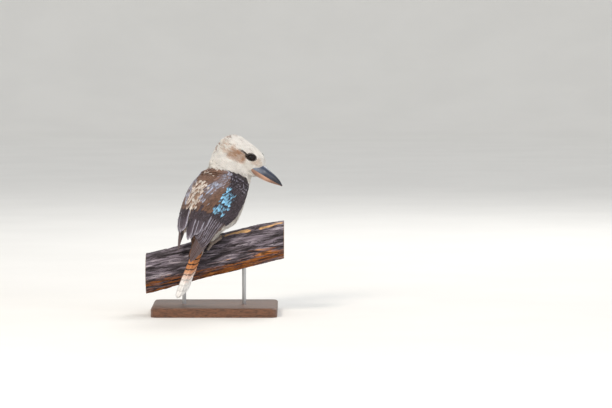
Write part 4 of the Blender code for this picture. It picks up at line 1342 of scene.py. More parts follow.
def horn_finish(name, stops, cast, roughness, mottle):
    """Horn of the bill: smooth keratin with faint growth lines, satin rather than glossy.

    Its colours follow the place on the head, which is in millimetres.
    """
    material, tree, place = new_material(name)
    on_bill = add_node(tree, "ShaderNodeAttribute", {"attribute_name": "Bill"}).outputs["Vector"]
    ahead, _, high = add_node(tree, "ShaderNodeSeparateXYZ", vector=on_bill).outputs
    cloud = add_node(tree, "ShaderNodeTexNoise", vector=on_bill, scale=0.35, detail=5.0)
    # Growth lines run round the bill, about 1 mm apart
    lines = add_node(tree, "ShaderNodeTexWave", {"bands_direction": "X"},
                     vector=on_bill, scale=0.28, distortion=4.0, detail=3.0)
    streaks = add_node(tree, "ShaderNodeTexNoise", vector=place, scale=per_metre(42, 100),
                       detail=3.0)
    fade = add_node(tree, "ShaderNodeMapRange",
                    in_0=ahead, in_1=BILL_BACK, in_2=BILL_BACK + BILL_LENGTH)
    warp = add_node(tree, "ShaderNodeMath", "MULTIPLY_ADD", in_0=cloud, in_1=mottle, in_2=fade)
    body = add_node(tree, "ShaderNodeValToRGB", {"stops": stops}, fac=warp)
    # A pale, chalky cast low on the sides near the face
    chalk = cloud
    for run, none_at, full_at in ((high, -3.0, -11.0), (ahead, 16.0, -8.0)):
        share = add_node(tree, "ShaderNodeMapRange", in_0=run, in_1=none_at, in_2=full_at)
        chalk = add_node(tree, "ShaderNodeMath", "MULTIPLY", in_0=chalk, in_1=share)
    colour = add_node(tree, "ShaderNodeMix", {"data_type": "RGBA"},
                      in_0=chalk, in_6=body, in_7=cast)
    height = add_node(tree, "ShaderNodeMath", "MULTIPLY_ADD",
                      in_0=lines.outputs["Fac"], in_1=0.07, in_2=streaks)
    add_surface(
        tree, (height, 0.25, 0.3 * MM), base_color=colour, roughness=roughness, ior=1.55,
        coat_weight=0.18, coat_roughness=0.25, subsurface_weight=0.04,
        subsurface_radius=(0.002, 0.001, 0.0006),
    )
    return material


def carry_head_place(mesh):
    """Stores each vertex's place on the head, so that a pattern follows the bill."""
    set_values(mesh, "Bill", "FLOAT_VECTOR", "POINT", world_to_head(mesh_points(mesh)))


def eyeball_mesh(side):
    """A closed ball whose poles lie along the direction that the eye looks in."""
    centre, pole = eye_centre(side), eye_look(side)
    one = unit(np.cross(pole, UP))
    two = np.cross(pole, one)
    turns = np.linspace(0, 2 * math.pi, 40, endpoint=False)
    out = np.outer(np.cos(turns), one) + np.outer(np.sin(turns), two)
    rings = []
    for slope in np.linspace(0.06, math.pi - 0.06, 28):
        rings.append(centre + EYE_RADIUS * (math.cos(slope) * pole + math.sin(slope) * out))
    return make_mesh("ball", *loft(rings))


def eye_finish(iris):
    """Wet cornea over a dark brown iris: a sharp highlight on a nearly black eye."""
    material, tree, place = new_material("Eye cornea")
    out = add_node(tree, "ShaderNodeAttribute", {"attribute_name": "From_pupil"}).outputs["Fac"]
    rays = add_node(tree, "ShaderNodeTexNoise", vector=place, scale=per_metre(14, 10), detail=2.0)
    shift = add_node(tree, "ShaderNodeMath", "MULTIPLY_ADD", in_0=rays, in_1=0.05, in_2=out)
    iris = np.array(iris)
    colour = add_node(tree, "ShaderNodeValToRGB", {"stops": [
        (0.0, linear("050404")), (0.36, linear("050404")), (0.42, iris), (0.66, iris * 0.6),
        (0.8, linear("120C0A")), (1.0, linear("0A0706")),
    ]}, fac=shift)
    add_surface(
        tree, base_color=colour, roughness=0.12, ior=1.38, specular_ior_level=0.2,
        coat_weight=0.45, coat_roughness=0.02, coat_ior=1.4,
    )
    return material


# Rim of the lids: its radius, how far it lies out from the eye's centre, and its own section
LID_RADIUS, LID_OUT, LID_WIDTH, LID_DEPTH = 6.35, 3.2, 1.4, 1.7


def lid_mesh(side):
    """The thin bare rim of the eyelids, drawn to a point before and behind the eye."""
    look = eye_look(side)
    ahead = head_axes()[0]
    across = unit(ahead - look * (ahead @ look))
    over = np.cross(look, across) * side
    centre = eye_centre(side) + look * LID_OUT
    facets = np.linspace(0, 2 * math.pi, 8, endpoint=False)
    wide, deep = np.cos(facets) * LID_WIDTH / 2, np.sin(facets) * LID_DEPTH / 2
    rings = []
    for turn in np.linspace(0, 2 * math.pi, 48, endpoint=False):
        point = math.cos(turn) * across + math.sin(turn) * 0.93 * over
        corner = 0.22 * math.cos(turn) ** 8
        ring = centre + point * LID_RADIUS * (1 + corner) + np.outer(wide, point)
        rings.append(ring + np.outer(deep, look) - look * 3.6 * corner)
    faces = grid_faces(len(rings), len(facets), close_rows=True, close_columns=True)
    return np.concatenate(rings), faces


def hide_finish(name, colour, crease, scale):
    """Bare skin with fine folds: soft satin, darker in the creases."""
    material, tree, place = new_material(name)
    folds = add_node(tree, "ShaderNodeTexVoronoi", {"feature": "DISTANCE_TO_EDGE"},
                     vector=place, scale=scale)
    folds = add_node(tree, "ShaderNodeMapRange", in_0=folds, in_2=0.12)
    cloud = add_node(tree, "ShaderNodeTexNoise", vector=place, scale=per_metre(16, 100), detail=4.0)
    colour = np.array(colour)
    tint = add_node(tree, "ShaderNodeValToRGB", {"stops": [(0.3, colour * 0.75), (0.7, colour)]},
                    fac=cloud)
    tint = add_node(tree, "ShaderNodeMix", {"data_type": "RGBA"},
                    in_0=folds, in_6=crease, in_7=tint)
    add_surface(
        tree, (folds, 0.6, 0.4 * MM), base_color=tint, roughness=0.5, specular_ior_level=0.4,
        subsurface_weight=0.05, subsurface_radius=(0.0015, 0.0008, 0.0005),
    )
    return material


def toe_line(foot, toe, places, height):
    """The middle of a toe or its claw, at each place: 0 at the heel, 1 at the toe's end."""
    side = 1 if foot == "right" else -1
    lean, length = TOES[toe]
    lean = math.radians(lean * side)
    return np.array([
        bark_point(foot, q * length * math.cos(lean), q * length * math.sin(lean), height(q))
        for q in places
    ])


def toe_height(q):
    """Height of a toe's middle over the bark, a little more than its radius."""
    return TOE_RADIUS * (1.0 - TOE_TAPER * q) + 0.35


def foot_shapes(foot):
    """The heel and four toes of a foot, ringed with scutes about 2 mm long."""
    rows = np.linspace(0, 1, 24)
    heel = resample([bark_point(foot, -1.0, 0.0, h) for h in (3.6, 7.5, 13.0)], len(rows))
    shapes = [tube(heel, (4.3 - 1.0 * rows) * (1 + 0.05 * np.sin(rows * 30)), sides=20)]
    q = np.linspace(0, 1, 44)
    for toe, (_, length) in TOES.items():
        joints = 1 + 0.07 * np.cos(q * length / JOINT_SPACING * 2 * math.pi)
        scutes = 1 + 0.045 * np.abs(np.sin(q * length / SCUTE_LENGTH * math.pi))
        radii = TOE_RADIUS * (1 - TOE_TAPER * q) * joints * scutes
        radii[-3:] *= (0.92, 0.78, 0.5)
        shapes.append(tube(toe_line(foot, toe, q, toe_height), radii, sides=18))
    return shapes


def claw_shape(foot, toe):
    """A claw that rises from the toe's end and curves down to the bark."""
    _, length = TOES[toe]
    start, stop = 0.93, 1 + CLAW_REACH / length

    def height(q):
        share = (q - start) / (stop - start)
        return 2.5 + 1.6 * math.sin(math.pi * share * 0.85) - 0.7 * share

    line = toe_line(foot, toe, np.linspace(start, stop, 18), height)
    radii = np.interp(np.linspace(0, 1, 18), (0, 0.25, 0.5, 0.75, 1), (1.9, 1.75, 1.4, 0.95, 0.25))
    return tube(line, radii, sides=14)


# Branch and stand


def bark_relief(x, turn):
    """Height of the bark over its mean surface: long plates with split edges between them."""
    def grain(stretch, size, seed, twist=0.0):
        a = np.radians(turn) + twist * x
        return ripple(np.stack([x * stretch, 40 * np.cos(a), 40 * np.sin(a)], axis=-1), size, seed)

    plates, fine = grain(0.16, 10, 31), grain(0.3, 2.4, 33)
    furrows = np.abs(grain(0.07, 7, 32, 0.004))
    splits = np.abs(grain(0.06, 4, 34, -0.003))
    return (0.8 * plates + 0.35 * fine - 2.4 * (1 - ease(furrows / 0.3))
            - 0.8 * (1 - ease(splits / 0.4)))


def perch_mesh():
    """The cut branch, with furrowed bark and sawn ends."""
    turns = np.linspace(0, 360, 270, endpoint=False)
    rings = []
    for x in np.linspace(-PERCH_HALF_LENGTH, PERCH_HALF_LENGTH, 216):
        at = np.full(len(turns), x)
        for _ in range(4):  # the branch slopes, and each ring stands upright
            at += x - on_perch(at, turns)[:, 0]
        calm = np.ones(len(turns))
        for foot_x, foot_turn in FEET.values():
            gap = np.hypot(at - foot_x - 6, (turns - foot_turn + 180) % 360 - 180 - 6)
            calm *= ease((gap - 14) / 16)
        relief = np.clip(bark_relief(at, turns), -2.6, 0.9) * calm - 0.3
        ring = on_perch(at, turns, relief)
        ring[:, 0] = x
        rings.append(ring)
    low, high = rings[0].copy(), rings[-1].copy()
    for end, x in ((low, -PERCH_HALF_LENGTH), (high, PERCH_HALF_LENGTH)):
        centre = perch_axis(x)
        faces = []
        for scale in (0.985, 0.72, 0.45, 0.2):
            ring = centre + (end - end.mean(0)) * scale
            ring[:, 0] = x
            faces.append(ring)
        rings = [*faces[::-1], *rings] if x < 0 else [*rings, *faces]
    return make_mesh("perch", *loft(rings))


def bark_finish(dark, warm):
    """Weathered branch wood: grey furrowed bark, warm raw wood where it has split, sawn ends,
    painted shade in the furrows and cracks, and a painted highlight along the upper edge.
    """
    material, tree, place = new_material("Weathered bark")
    dark, warm = np.array(dark), np.array(warm)
    underside, peeled_and_highlight, furrow_shade, from_heart = (
        add_node(tree, "ShaderNodeAttribute", {"attribute_name": name}).outputs["Fac"]
        for name in ("Underside", "Peeled", "Furrow", "From_heart")
    )
    # The grain runs along the branch, ten times as long as it is wide
    grain_at = add_node(tree, "ShaderNodeMapping", {"vector_type": "TEXTURE"}, vector=place,
                        rotation=(0.0, -math.atan(PERCH_SLOPE), 0.0), scale=(10.0, 1.0, 1.0))
    fine, wide, patches = (
        add_node(tree, "ShaderNodeTexNoise", vector=grain_at, scale=per_metre(count, 100),
                 detail=detail, roughness=0.65, distortion=0.3)
        for count, detail in ((52, 5.0), (15, 6.0), (6.2, 3.0))
    )
    bark = add_node(tree, "ShaderNodeValToRGB", {"stops": [
        (0.36, dark * 0.35), (0.45, dark * 1.2), (0.53, linear("7F757F")),
        (0.64, linear("B8AEB5")),
    ]}, fac=wide)
    # Warm wood shows in long streaks on the underside, and in a strip where the top edge has
    # peeled, which is also painted pale as a highlight of the ridge
    warmth_and_highlight = add_node(tree, "ShaderNodeMix", {"data_type": "FLOAT"},
                      in_0=0.5, in_2=patches, in_3=wide)
    warmth_and_highlight = add_node(tree, "ShaderNodeMath", "ADD", in_0=warmth_and_highlight, in_1=underside)
    warmth_and_highlight = add_node(tree, "ShaderNodeMapRange", {"interpolation_type": "SMOOTHSTEP"},
                      in_0=warmth_and_highlight, in_1=0.68, in_2=0.79)
    fibres = add_node(tree, "ShaderNodeMix", {"data_type": "FLOAT"},
                      in_0=0.35, in_2=wide, in_3=fine)
    raw = add_node(tree, "ShaderNodeValToRGB", {"stops": [
        (0.38, warm * 0.12), (0.46, warm * 0.5), (0.53, warm), (0.62, linear("DC9A5A")),
    ]}, fac=fibres)
    # Painted highlight: the peeled strip along the upper edge is lit pale
    raw = add_node(tree, "ShaderNodeMix", {"data_type": "RGBA"},
                   in_0=peeled_and_highlight, in_6=raw, in_7=linear("EDBE88"))
    # Painted shade: thin cracks along the grain, and the furrows by their depth, are darker
    crack = add_node(tree, "ShaderNodeMath", "SUBTRACT", in_0=patches, in_1=0.5)
    crack = add_node(tree, "ShaderNodeMath", "ABSOLUTE", in_0=crack)
    crack = add_node(tree, "ShaderNodeMapRange",
                     in_0=crack, in_1=0.0, in_2=0.012, in_3=0.85, in_4=0.0)
    depth = add_node(tree, "ShaderNodeMath", "MAXIMUM", in_0=furrow_shade, in_1=crack)
    # Sawn ends: growth rings round the heart
    end = add_node(tree, "ShaderNodeSeparateXYZ", vector=place)
    end = add_node(tree, "ShaderNodeMath", "ABSOLUTE", in_0=end)
    end = add_node(tree, "ShaderNodeMath", "GREATER_THAN",
                   in_0=end, in_1=(PERCH_HALF_LENGTH - 0.4) * MM)
    wobble = add_node(tree, "ShaderNodeTexNoise", vector=place, scale=per_metre(6, 100), detail=2.0)
    rings = add_node(tree, "ShaderNodeMath", "MULTIPLY_ADD",
                     in_0=wobble, in_1=16.0, in_2=from_heart)
    rings = add_node(tree, "ShaderNodeMath", "SINE", in_0=rings)
    rings = add_node(tree, "ShaderNodeMapRange", in_0=rings, in_1=-1.0)
    wood = add_node(tree, "ShaderNodeValToRGB", {"stops": [
        (0.0, linear("8A6A50")), (0.5, linear("A5835F")), (1.0, linear("B3936F")),
    ]}, fac=rings)
    colour = bark
    for share, over in ((warmth_and_highlight, raw), (depth, linear("1B1516")), (end, wood)):
        colour = add_node(tree, "ShaderNodeMix", {"data_type": "RGBA"},
                          in_0=share, in_6=colour, in_7=over)
    height = add_node(tree, "ShaderNodeMath", "ADD", in_0=fine, in_1=wide)
    height = add_node(tree, "ShaderNodeMath", "SUBTRACT", in_0=height, in_1=crack)
    add_surface(tree, (height, 0.8, 1.4 * MM), base_color=colour, roughness=0.85,
                specular_ior_level=0.25)
    return material


def wood_finish(colour):
    """Oiled walnut: long fine grain under a satin oil finish."""
    material, tree, place = new_material("Oiled walnut")
    colour = np.array(colour)
    long = add_node(tree, "ShaderNodeMapping", vector=place,
                    rotation=(0.05, 0.02, 0.04), scale=(1.0, 9.0, 9.0))
    grain = add_node(tree, "ShaderNodeTexNoise", vector=long, scale=per_metre(11, 1000),
                     detail=7.0, roughness=0.62, distortion=0.6)
    tint = add_node(tree, "ShaderNodeValToRGB", {"stops": [
        (0.32, colour * 0.42), (0.47, colour), (0.55, colour * 1.35), (0.7, colour * 0.7),
    ]}, fac=grain)
    pores = add_node(tree, "ShaderNodeTexNoise", vector=long, scale=per_metre(11, 100), detail=3.0)
    pores = add_node(tree, "ShaderNodeMapRange", in_0=pores, in_1=0.36, in_2=0.48)
    tint = add_node(tree, "ShaderNodeMix", {"data_type": "RGBA"},
                    in_0=pores, in_6=colour * 0.3, in_7=tint)
    add_surface(tree, (pores, 0.2, 0.2 * MM), base_color=tint, roughness=0.42, ior=1.5,
                coat_weight=0.15, coat_roughness=0.3)
    return material


def steel_finish(roughness):
    """Brushed stainless steel rod: bright, with fine lines round it."""
    material, tree, place = new_material("Brushed stainless steel")
    long = add_node(tree, "ShaderNodeMapping", vector=place, scale=(0.3, 0.3, 8.0))
    brushed = add_node(tree, "ShaderNodeTexNoise", vector=long, scale=per_metre(5, 10), detail=4.0)
    rough = add_node(tree, "ShaderNodeMapRange",
                     in_0=brushed, in_3=roughness * 0.7, in_4=roughness * 1.4)
    add_surface(tree, (brushed, 0.12, 0.1 * MM), base_color=linear("B9BABC"), metallic=1.0,
                roughness=rough)
    return material


# Stage


# Places in metres
CAMERA_AIM, SENSOR_WIDTH = (0.182, 0.0, 0.2184), 36.0
SKY_COLOUR, SKY_STRENGTH = "EDEFF2", 0.8
LIGHT_AIM = (0.0, 0.0, 0.2)
LIGHTS = (  # name, place in metres, width in metres, watts, colour
    ("Key light", (-1.3, -2.6, 2.4), 1.0, 62.0, "FFF4E6"),
    ("Fill light", (2.6, -1.8, 1.2), 1.8, 20.0, "EEF3FF"),
    ("Rim light", (0.9, 2.4, 2.4), 1.2, 34.0, "FFFFFF"),
)


def floor_finish(colour):
    """Matt emulsion paint: no gloss, and a tone that changes very slowly."""
    material, tree, place = new_material("Matt painted floor")
    colour = np.array(colour)
    cloud = add_node(tree, "ShaderNodeTexNoise", vector=place, scale=per_metre(3, 1000), detail=4.0)
    tone = add_node(tree, "ShaderNodeValToRGB", {"stops": [(0.3, colour * 0.97), (0.7, colour)]},
                    fac=cloud)
    add_surface(tree, base_color=tone, roughness=0.9)
    return material


def backdrop_mesh():
    """A round studio floor that curves up into its own backdrop, far outside the camera."""
    climb = np.radians(np.arange(0.0, 91.0, 6.0))
    radii = np.concatenate([[1.0, 3000.0, 6000.0], 8500 + 3000 * np.sin(climb)])
    heights = np.concatenate([[0.0, 0.0, 0.0], 4500 * (1 - np.cos(climb))]) - 0.2
    turns = np.linspace(0, 2 * math.pi, 96, endpoint=False)
    ring = np.stack([np.cos(turns), np.sin(turns)], axis=-1)
    points = np.concatenate([
        np.column_stack([ring * radius, np.full(len(ring), height)])
        for radius, height in zip(radii, heights)
    ])
    faces = [tuple(range(len(turns)))]
    for a, b, c, d in grid_faces(len(radii), len(turns), close_columns=True):
        faces.append((a, d, c, b))
    return make_mesh("floor", points, faces)


def put_on_stage(scene, name, data, at, direction):
    """Adds a light or a camera that looks along a direction, with its Y upwards."""
    one = bpy.data.objects.new(name, data)
    scene.collection.objects.link(one)
    one.location = at
    x, y, z = unit(np.asarray(direction, float))
    one.rotation_euler = (math.acos(-z), 0.0, math.atan2(-x, y))
    return one


# Settings


def colour_setting(name, description, code):
    return bpy.props.FloatVectorProperty(
        name=name, description=description, subtype="COLOR", size=3, min=0, max=1,
        default=tuple(float(v) for v in linear(code)),
    )


class PlumageSettings(bpy.types.PropertyGroup):
    """Sizes and colours of the feathers."""

    coat_depth: bpy.props.FloatProperty(
        name="Coat depth", description="From the skin to the tips of the small feathers",
        default=0.0024, min=0.001, max=0.006, unit="LENGTH",
    )
    spacing: bpy.props.FloatProperty(
        name="Spacing", description="Gap between small feathers, as a part of their length",
        default=0.185, min=0.12, max=0.6,
    )
    variation: bpy.props.FloatProperty(
        name="Size variation", description="How much the small feathers differ in size",
        default=0.16, min=0, max=0.5,
    )
    seed: bpy.props.IntProperty(name="Seed", description="Arrangement of the feathers", default=5)
    cream: colour_setting("Cream", "Head, neck and breast", "F6F1EA")
    ear: colour_setting("Ear brown", "Patch behind the eye", "AE8365")
    mantle: colour_setting("Mantle brown", "Back and shoulder feathers", "7A5A49")
    # The pale streak colour is also a painted bluish sheen washed over the brown on the shoulder
    pale_streak_and_sheen: colour_setting("Pale streak", "Bluish white edges on the shoulder", "BCC6DE")
    blue: colour_setting("Blue", "Spotted wing coverts", "90CEF2")
    rufous: colour_setting("Rufous", "Tail feathers", "D98B4C")


class BarePartSettings(bpy.types.PropertyGroup):
    """Colours of the bill, eyes and feet."""

    upper_bill: colour_setting("Upper bill", "Slate horn of the upper half", "39435A")
    lower_bill: colour_setting("Lower bill", "Pinkish horn of the lower half", "C49A82")
    iris: colour_setting("Iris", "Dark brown of the eye", "24130C")
    foot: colour_setting("Foot", "Scaly skin of the toes", "A8988C")


class PerchSettings(bpy.types.PropertyGroup):
    """Colours of the branch."""

    bark: colour_setting("Bark", "Grey bark", "4B4448")
    raw_wood: colour_setting("Raw wood", "Warm wood in the splits", "B0692F")


class StandSettings(bpy.types.PropertyGroup):
    """Finish of the display stand."""

    wood: colour_setting("Wood", "Oiled base", "6A4630")
    steel_roughness: bpy.props.FloatProperty(
        name="Steel roughness", description="How dull the rods are", default=0.3, min=0, max=1
    )


class StageSettings(bpy.types.PropertyGroup):
    """Floor, light and camera."""

    floor: colour_setting("Floor", "Pale floor", "F3F1EC")
    distance: bpy.props.FloatProperty(
        name="Camera distance", description="From the camera to its aim", default=6.8,
        unit="LENGTH",
    )
    elevation: bpy.props.FloatProperty(
        name="Camera elevation", description="Above level", default=math.radians(3.5),
        subtype="ANGLE",
    )
    lens: bpy.props.FloatProperty(
        name="Lens", description="Focal length", default=200.0, unit="CAMERA"
    )


# Operators


class SkinOperator(bpy.types.Operator):
    """Build the skin under the small feathers"""

    bl_idname = "kookaburra.skin"
    bl_label = "Skin"

    def execute(self, context):
        plumage = context.scene.kookaburra_plumage
        mesh = skin_mesh(plumage.coat_depth / MM)
        tone, _ = markings(mesh_points(mesh), plumage)
        set_values(mesh, "Tone", "FLOAT_COLOR", "POINT", with_alpha(tone * 0.8))
        add_piece("skin", mesh, skin_finish(), "cream_plumage",
                  ("torso", "neck", "head", "leg_left", "leg_right"))
        return {"FINISHED"}


class CoatOperator(bpy.types.Operator):
    """Cover the skin with small feathers"""

    bl_idname = "kookaburra.coat"
    bl_label = "Small feathers"

    def execute(self, context):
        plumage = context.scene.kookaburra_plumage
        rng = np.random.default_rng(plumage.seed)
        roots, out, tips, region = lay_feathers(bpy.data.objects["skin"], plumage, rng)
        count = len(roots)
        pointing = tips - roots
        reach = np.linalg.norm(pointing, axis=1)
        tone, streak = markings(roots + 0.55 * pointing, plumage)
        tone = tone * (1 + rng.normal(0, 0.05, (count, 1)))
        # Contour feathers on the back and loose ones elsewhere, with some of each pair's second
        loose = region != "back"
        shape = np.where(loose, 2, 0) + (rng.random(count) < 0.45)
        width = np.where(loose, 1.0, 1.15) * rng.uniform(0.85, 1.15, count)
        size = np.stack([reach * width, reach, np.maximum(reach, 5)], axis=1) * MM
        values = {
            "Turn": ("FLOAT_VECTOR", turns_for(pointing, out)),
            "Size": ("FLOAT_VECTOR", size),
            "Shape": ("INT", shape.astype(np.int32)),
            "Root_place": ("FLOAT_VECTOR", np.column_stack([skin_unwrap(roots), np.zeros(count)])),
            "Tone": ("FLOAT_COLOR", with_alpha(np.clip(tone, 0, 1))),
            "Trim": ("FLOAT_COLOR", with_alpha(np.clip(tone * 1.18 + 0.02, 0, 1))),
            "Trim_side": ("FLOAT", np.full(count, 0.3)),
            "Trim_tip": ("FLOAT", np.full(count, 0.25)),
            "Shaft": ("FLOAT", streak),
        }
        finish = feather_finish("Small feather web", barbs=9, roughness=0.72)
        feathers, tree = feather_collection(), coat_tree()
        sunk = (roots - ROOT_DEPTH * out) * MM
        for name in np.unique(region):
            here = region == name
            points = bpy.data.meshes.new("roots")
            points.from_pydata(sunk[here].tolist(), [], [])
            for key, (kind, of_all) in values.items():
                set_values(points, key, kind, "POINT", of_all[here])
            made = run_tree(tree, points, f"coat_{name}", {
                "Unit feathers": feathers, "Finish": finish, "Patch": FEATHER_PATCH,
                "Size variation": plumage.variation, "Seed": plumage.seed,
            })
            add_piece(f"coat_{name}", made, None, "cream_plumage")
        return {"FINISHED"}


class WingOperator(bpy.types.Operator):
    """Build both folded wings, feather by feather"""

    bl_idname = "kookaburra.wings"
    bl_label = "Wings"

    def execute(self, context):
        plumage = context.scene.kookaburra_plumage
        finish = feather_finish("Wing feather web", barbs=46, roughness=0.55, shaft=0.6)
        pad_finish = skin_finish()
        mantle = mantle_tiers(plumage)
        join_webs("mantle_feathers", mantle.webs, mantle.looks, finish, "brown_plumage")
        for name, (side, droop, lift) in WINGS.items():
            tiers = wing_tiers(side, droop, lift, plumage)
            join_webs(f"wing_{name}_feathers", tiers.webs, tiers.looks, finish, "brown_plumage",
                      (f"wing_{name}",))
            pad = make_mesh(f"wing_{name}_arm", *wing_pad(side))
            tone = np.tile(linear("3A2C2C"), (len(pad.vertices), 1))
            set_values(pad, "Tone", "FLOAT_COLOR", "POINT", with_alpha(tone))
            add_piece(f"wing_{name}_arm", pad, pad_finish, "brown_plumage")
        return {"FINISHED"}


class TailOperator(bpy.types.Operator):
    """Build the barred tail"""

    bl_idname = "kookaburra.tail"
    bl_label = "Tail"

    def execute(self, context):
        finish = feather_finish("Barred tail feather web", barbs=80, roughness=0.6, bars=True)
        webs, looks = tail_webs(context.scene.kookaburra_plumage)
        join_webs("tail_feathers", webs, looks, finish, "rufous_plumage", ("tail",))
        return {"FINISHED"}


class BillOperator(bpy.types.Operator):
    """Build both halves of the bill"""

    bl_idname = "kookaburra.bill"
    bl_label = "Bill"

    def execute(self, context):
        bare_parts = context.scene.kookaburra_bare_parts
        slate, pink = np.array(bare_parts.upper_bill), np.array(bare_parts.lower_bill)
        finishes = {
            "upper": horn_finish("Slate horn", [
                (0.1, slate * 0.5), (0.4, slate), (0.75, slate * 0.55), (1.0, slate * 0.25),
            ], linear("A3AFC0"), 0.34, 0.3),
            "lower": horn_finish("Pinkish horn", [
                (0.1, linear("6E4A3E")), (0.34, pink), (0.75, pink * 1.1), (1.0, linear("8A6654")),
            ], linear("6B4A42"), 0.42, 0.4),
        }
        for name, slot in (("upper", "dark_horn"), ("lower", "pale_horn")):
            mesh = bill_half(name == "upper")
            carry_head_place(mesh)
            add_piece(f"bill_{name}_horn", mesh, finishes[name], slot, (f"bill_{name}",))
        return {"FINISHED"}


class EyeOperator(bpy.types.Operator):
    """Build the eyes and the rims of their lids"""

    bl_idname = "kookaburra.eyes"
    bl_label = "Eyes"

    def execute(self, context):
        finish = eye_finish(context.scene.kookaburra_bare_parts.iris)
        rim = hide_finish("Bare eyelid skin", linear("1C1718"), linear("0C090A"), per_metre(15, 10))
        for name, side in (("left", -1), ("right", 1)):
            mesh = eyeball_mesh(side)
            out = unit(mesh_points(mesh) - eye_centre(side)) @ eye_look(side)
            away = np.arccos(np.clip(out, -1, 1)) / (0.5 * math.pi)
            set_values(mesh, "From_pupil", "FLOAT", "POINT", away)
            add_piece(f"eyeball_{name}", mesh, finish, "eye", (f"eye_{name}",))
            lid = make_mesh(f"eyelid_{name}", *lid_mesh(side))
            add_piece(f"eyelid_{name}", lid, rim, "scaly_skin")
        return {"FINISHED"}


class FeetOperator(bpy.types.Operator):
    """Build the toes and claws"""

    bl_idname = "kookaburra.feet"
    bl_label = "Feet"

    def execute(self, context):
        colour = context.scene.kookaburra_bare_parts.foot
        skin = hide_finish("Scaly foot skin", colour, linear("4A4140"), per_metre(9, 10))
        horn = horn_finish("Claw horn", [(0.0, linear("2A2628")), (1.0, linear("3A3436"))],
                           linear("2A2628"), 0.35, 0.4)
        for foot in FEET:
            mesh = make_mesh(f"toes_{foot}", *join_shapes(foot_shapes(foot)))
            add_piece(f"toes_{foot}", mesh, skin, "scaly_skin", (f"foot_{foot}",))
            for toe in TOES:
                mesh = make_mesh(f"claw_{foot}_{toe}_horn", *claw_shape(foot, toe))
                carry_head_place(mesh)
                add_piece(f"claw_{foot}_{toe}_horn", mesh, horn, "dark_horn",
                          (f"claw_{foot}_{toe}",))
        return {"FINISHED"}


class PerchOperator(bpy.types.Operator):
    """Build the furrowed branch"""

    bl_idname = "kookaburra.perch"
    bl_label = "Branch"

    def execute(self, context):
        perch = context.scene.kookaburra_perch
        mesh = perch_mesh()
        points = mesh_points(mesh)
        x, away = points[:, 0], points - perch_axis(points[:, 0])
        turn = np.degrees(np.arctan2(away[:, 1], away[:, 2]))
        radius = np.linalg.norm(away, axis=1)
        depth = perch_radius(x, turn) - radius
        underside = ease((np.abs(turn + 5) - 62) / 66)
        # Bark has peeled along the upper edge, in front of the bird and near the right end, and
        # that strip is also painted pale as a highlight of the ridge
        strip = -27 + 6 * np.sin(x / 17)
        peeled_and_highlight = inside(x, 4, 66, 16) + inside(x, 92, 132, 12)
        peeled_and_highlight = peeled_and_highlight * inside(turn, strip - 5, strip + 5, 5)
        values = {
            # Painted shade in the furrows, darker where the bark lies deeper
            "Furrow": ease((depth - 1.0) / 1.8) * 0.8,
            "Underside": 0.24 * underside + 0.29 * peeled_and_highlight,
            "Peeled": peeled_and_highlight,
            "From_heart": radius * 2.1,
        }
        for name, value in values.items():
            set_values(mesh, name, "FLOAT", "POINT", value)
        finish = bark_finish(perch.bark, perch.raw_wood)
        add_piece("perch_bark", mesh, finish, "bark", ("perch_branch",))
        return {"FINISHED"}


class StandOperator(bpy.types.Operator):
    """Finish the display stand"""

    bl_idname = "kookaburra.stand"
    bl_label = "Stand"

    def execute(self, context):
        stand = context.scene.kookaburra_stand
        wood, steel = wood_finish(stand.wood), steel_finish(stand.steel_roughness)
        finishes = {"stand_base": wood, "stand_rod_left": steel, "stand_rod_right": steel}
        for name, finish in finishes.items():
            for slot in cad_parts[name].material_slots:
                slot.material = finish
        return {"FINISHED"}


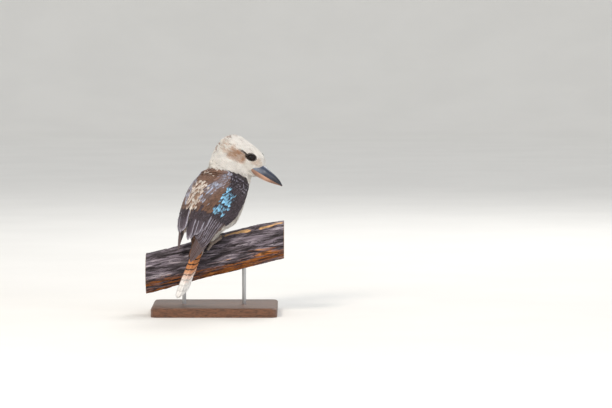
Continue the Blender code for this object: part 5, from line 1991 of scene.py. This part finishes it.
class StageOperator(bpy.types.Operator):
    """Add the floor, the soft lights and the camera"""

    bl_idname = "kookaburra.stage"
    bl_label = "Stage"

    def execute(self, context):
        scene, stage = context.scene, context.scene.kookaburra_stage
        add_piece("floor", backdrop_mesh(), floor_finish(stage.floor))
        scene.view_settings.view_transform = "Standard"
        scene.world = bpy.data.worlds.new("Studio")
        scene.world.use_nodes = True
        sky = scene.world.node_tree.nodes["Background"]
        sky.inputs["Color"].default_value = (*linear(SKY_COLOUR), 1.0)
        sky.inputs["Strength"].default_value = SKY_STRENGTH
        for name, at, size, power, colour in LIGHTS:
            data = bpy.data.lights.new(name, "AREA")
            data.shape = "DISK"
            data.size = size
            data.energy = power
            data.color = linear(colour)
            put_on_stage(scene, name, data, at, np.array(LIGHT_AIM) - at)

        data = bpy.data.cameras.new("Camera")
        data.lens = stage.lens
        data.sensor_width = SENSOR_WIDTH
        data.clip_start, data.clip_end = 0.1, 100.0
        away = np.array([0.0, -math.cos(stage.elevation), math.sin(stage.elevation)])
        at = np.array(CAMERA_AIM) + away * stage.distance
        scene.camera = put_on_stage(scene, "Camera", data, at, -away)
        return {"FINISHED"}


class KookaburraPanel(bpy.types.Panel):
    """Settings and steps of the model"""

    bl_idname = "VIEW3D_PT_kookaburra"
    bl_label = "Kookaburra"
    bl_space_type = "VIEW_3D"
    bl_region_type = "UI"
    bl_category = "Kookaburra"

    def draw(self, context):
        for name, group in SETTINGS.items():
            box = self.layout.box()
            box.label(text=group.__doc__)
            settings = getattr(context.scene, name)
            for key in group.__annotations__:
                box.prop(settings, key)
        for step in STEPS:
            self.layout.operator(step.bl_idname)


SETTINGS = {
    "kookaburra_plumage": PlumageSettings,
    "kookaburra_bare_parts": BarePartSettings,
    "kookaburra_perch": PerchSettings,
    "kookaburra_stand": StandSettings,
    "kookaburra_stage": StageSettings,
}
STEPS = (
    SkinOperator, CoatOperator, WingOperator, TailOperator, BillOperator, EyeOperator,
    FeetOperator, PerchOperator, StandOperator, StageOperator,
)


def register():
    for name, group in SETTINGS.items():
        bpy.utils.register_class(group)
        setattr(bpy.types.Scene, name, bpy.props.PointerProperty(type=group))
    for one in (*STEPS, KookaburraPanel):
        bpy.utils.register_class(one)


def unregister():
    for one in (KookaburraPanel, *reversed(STEPS)):
        bpy.utils.unregister_class(one)
    for name, group in SETTINGS.items():
        delattr(bpy.types.Scene, name)
        bpy.utils.unregister_class(group)


def main():
    register()
    for step in STEPS:
        family, name = step.bl_idname.split(".")
        getattr(getattr(bpy.ops, family), name)()


if __name__ == "__main__":
    main()
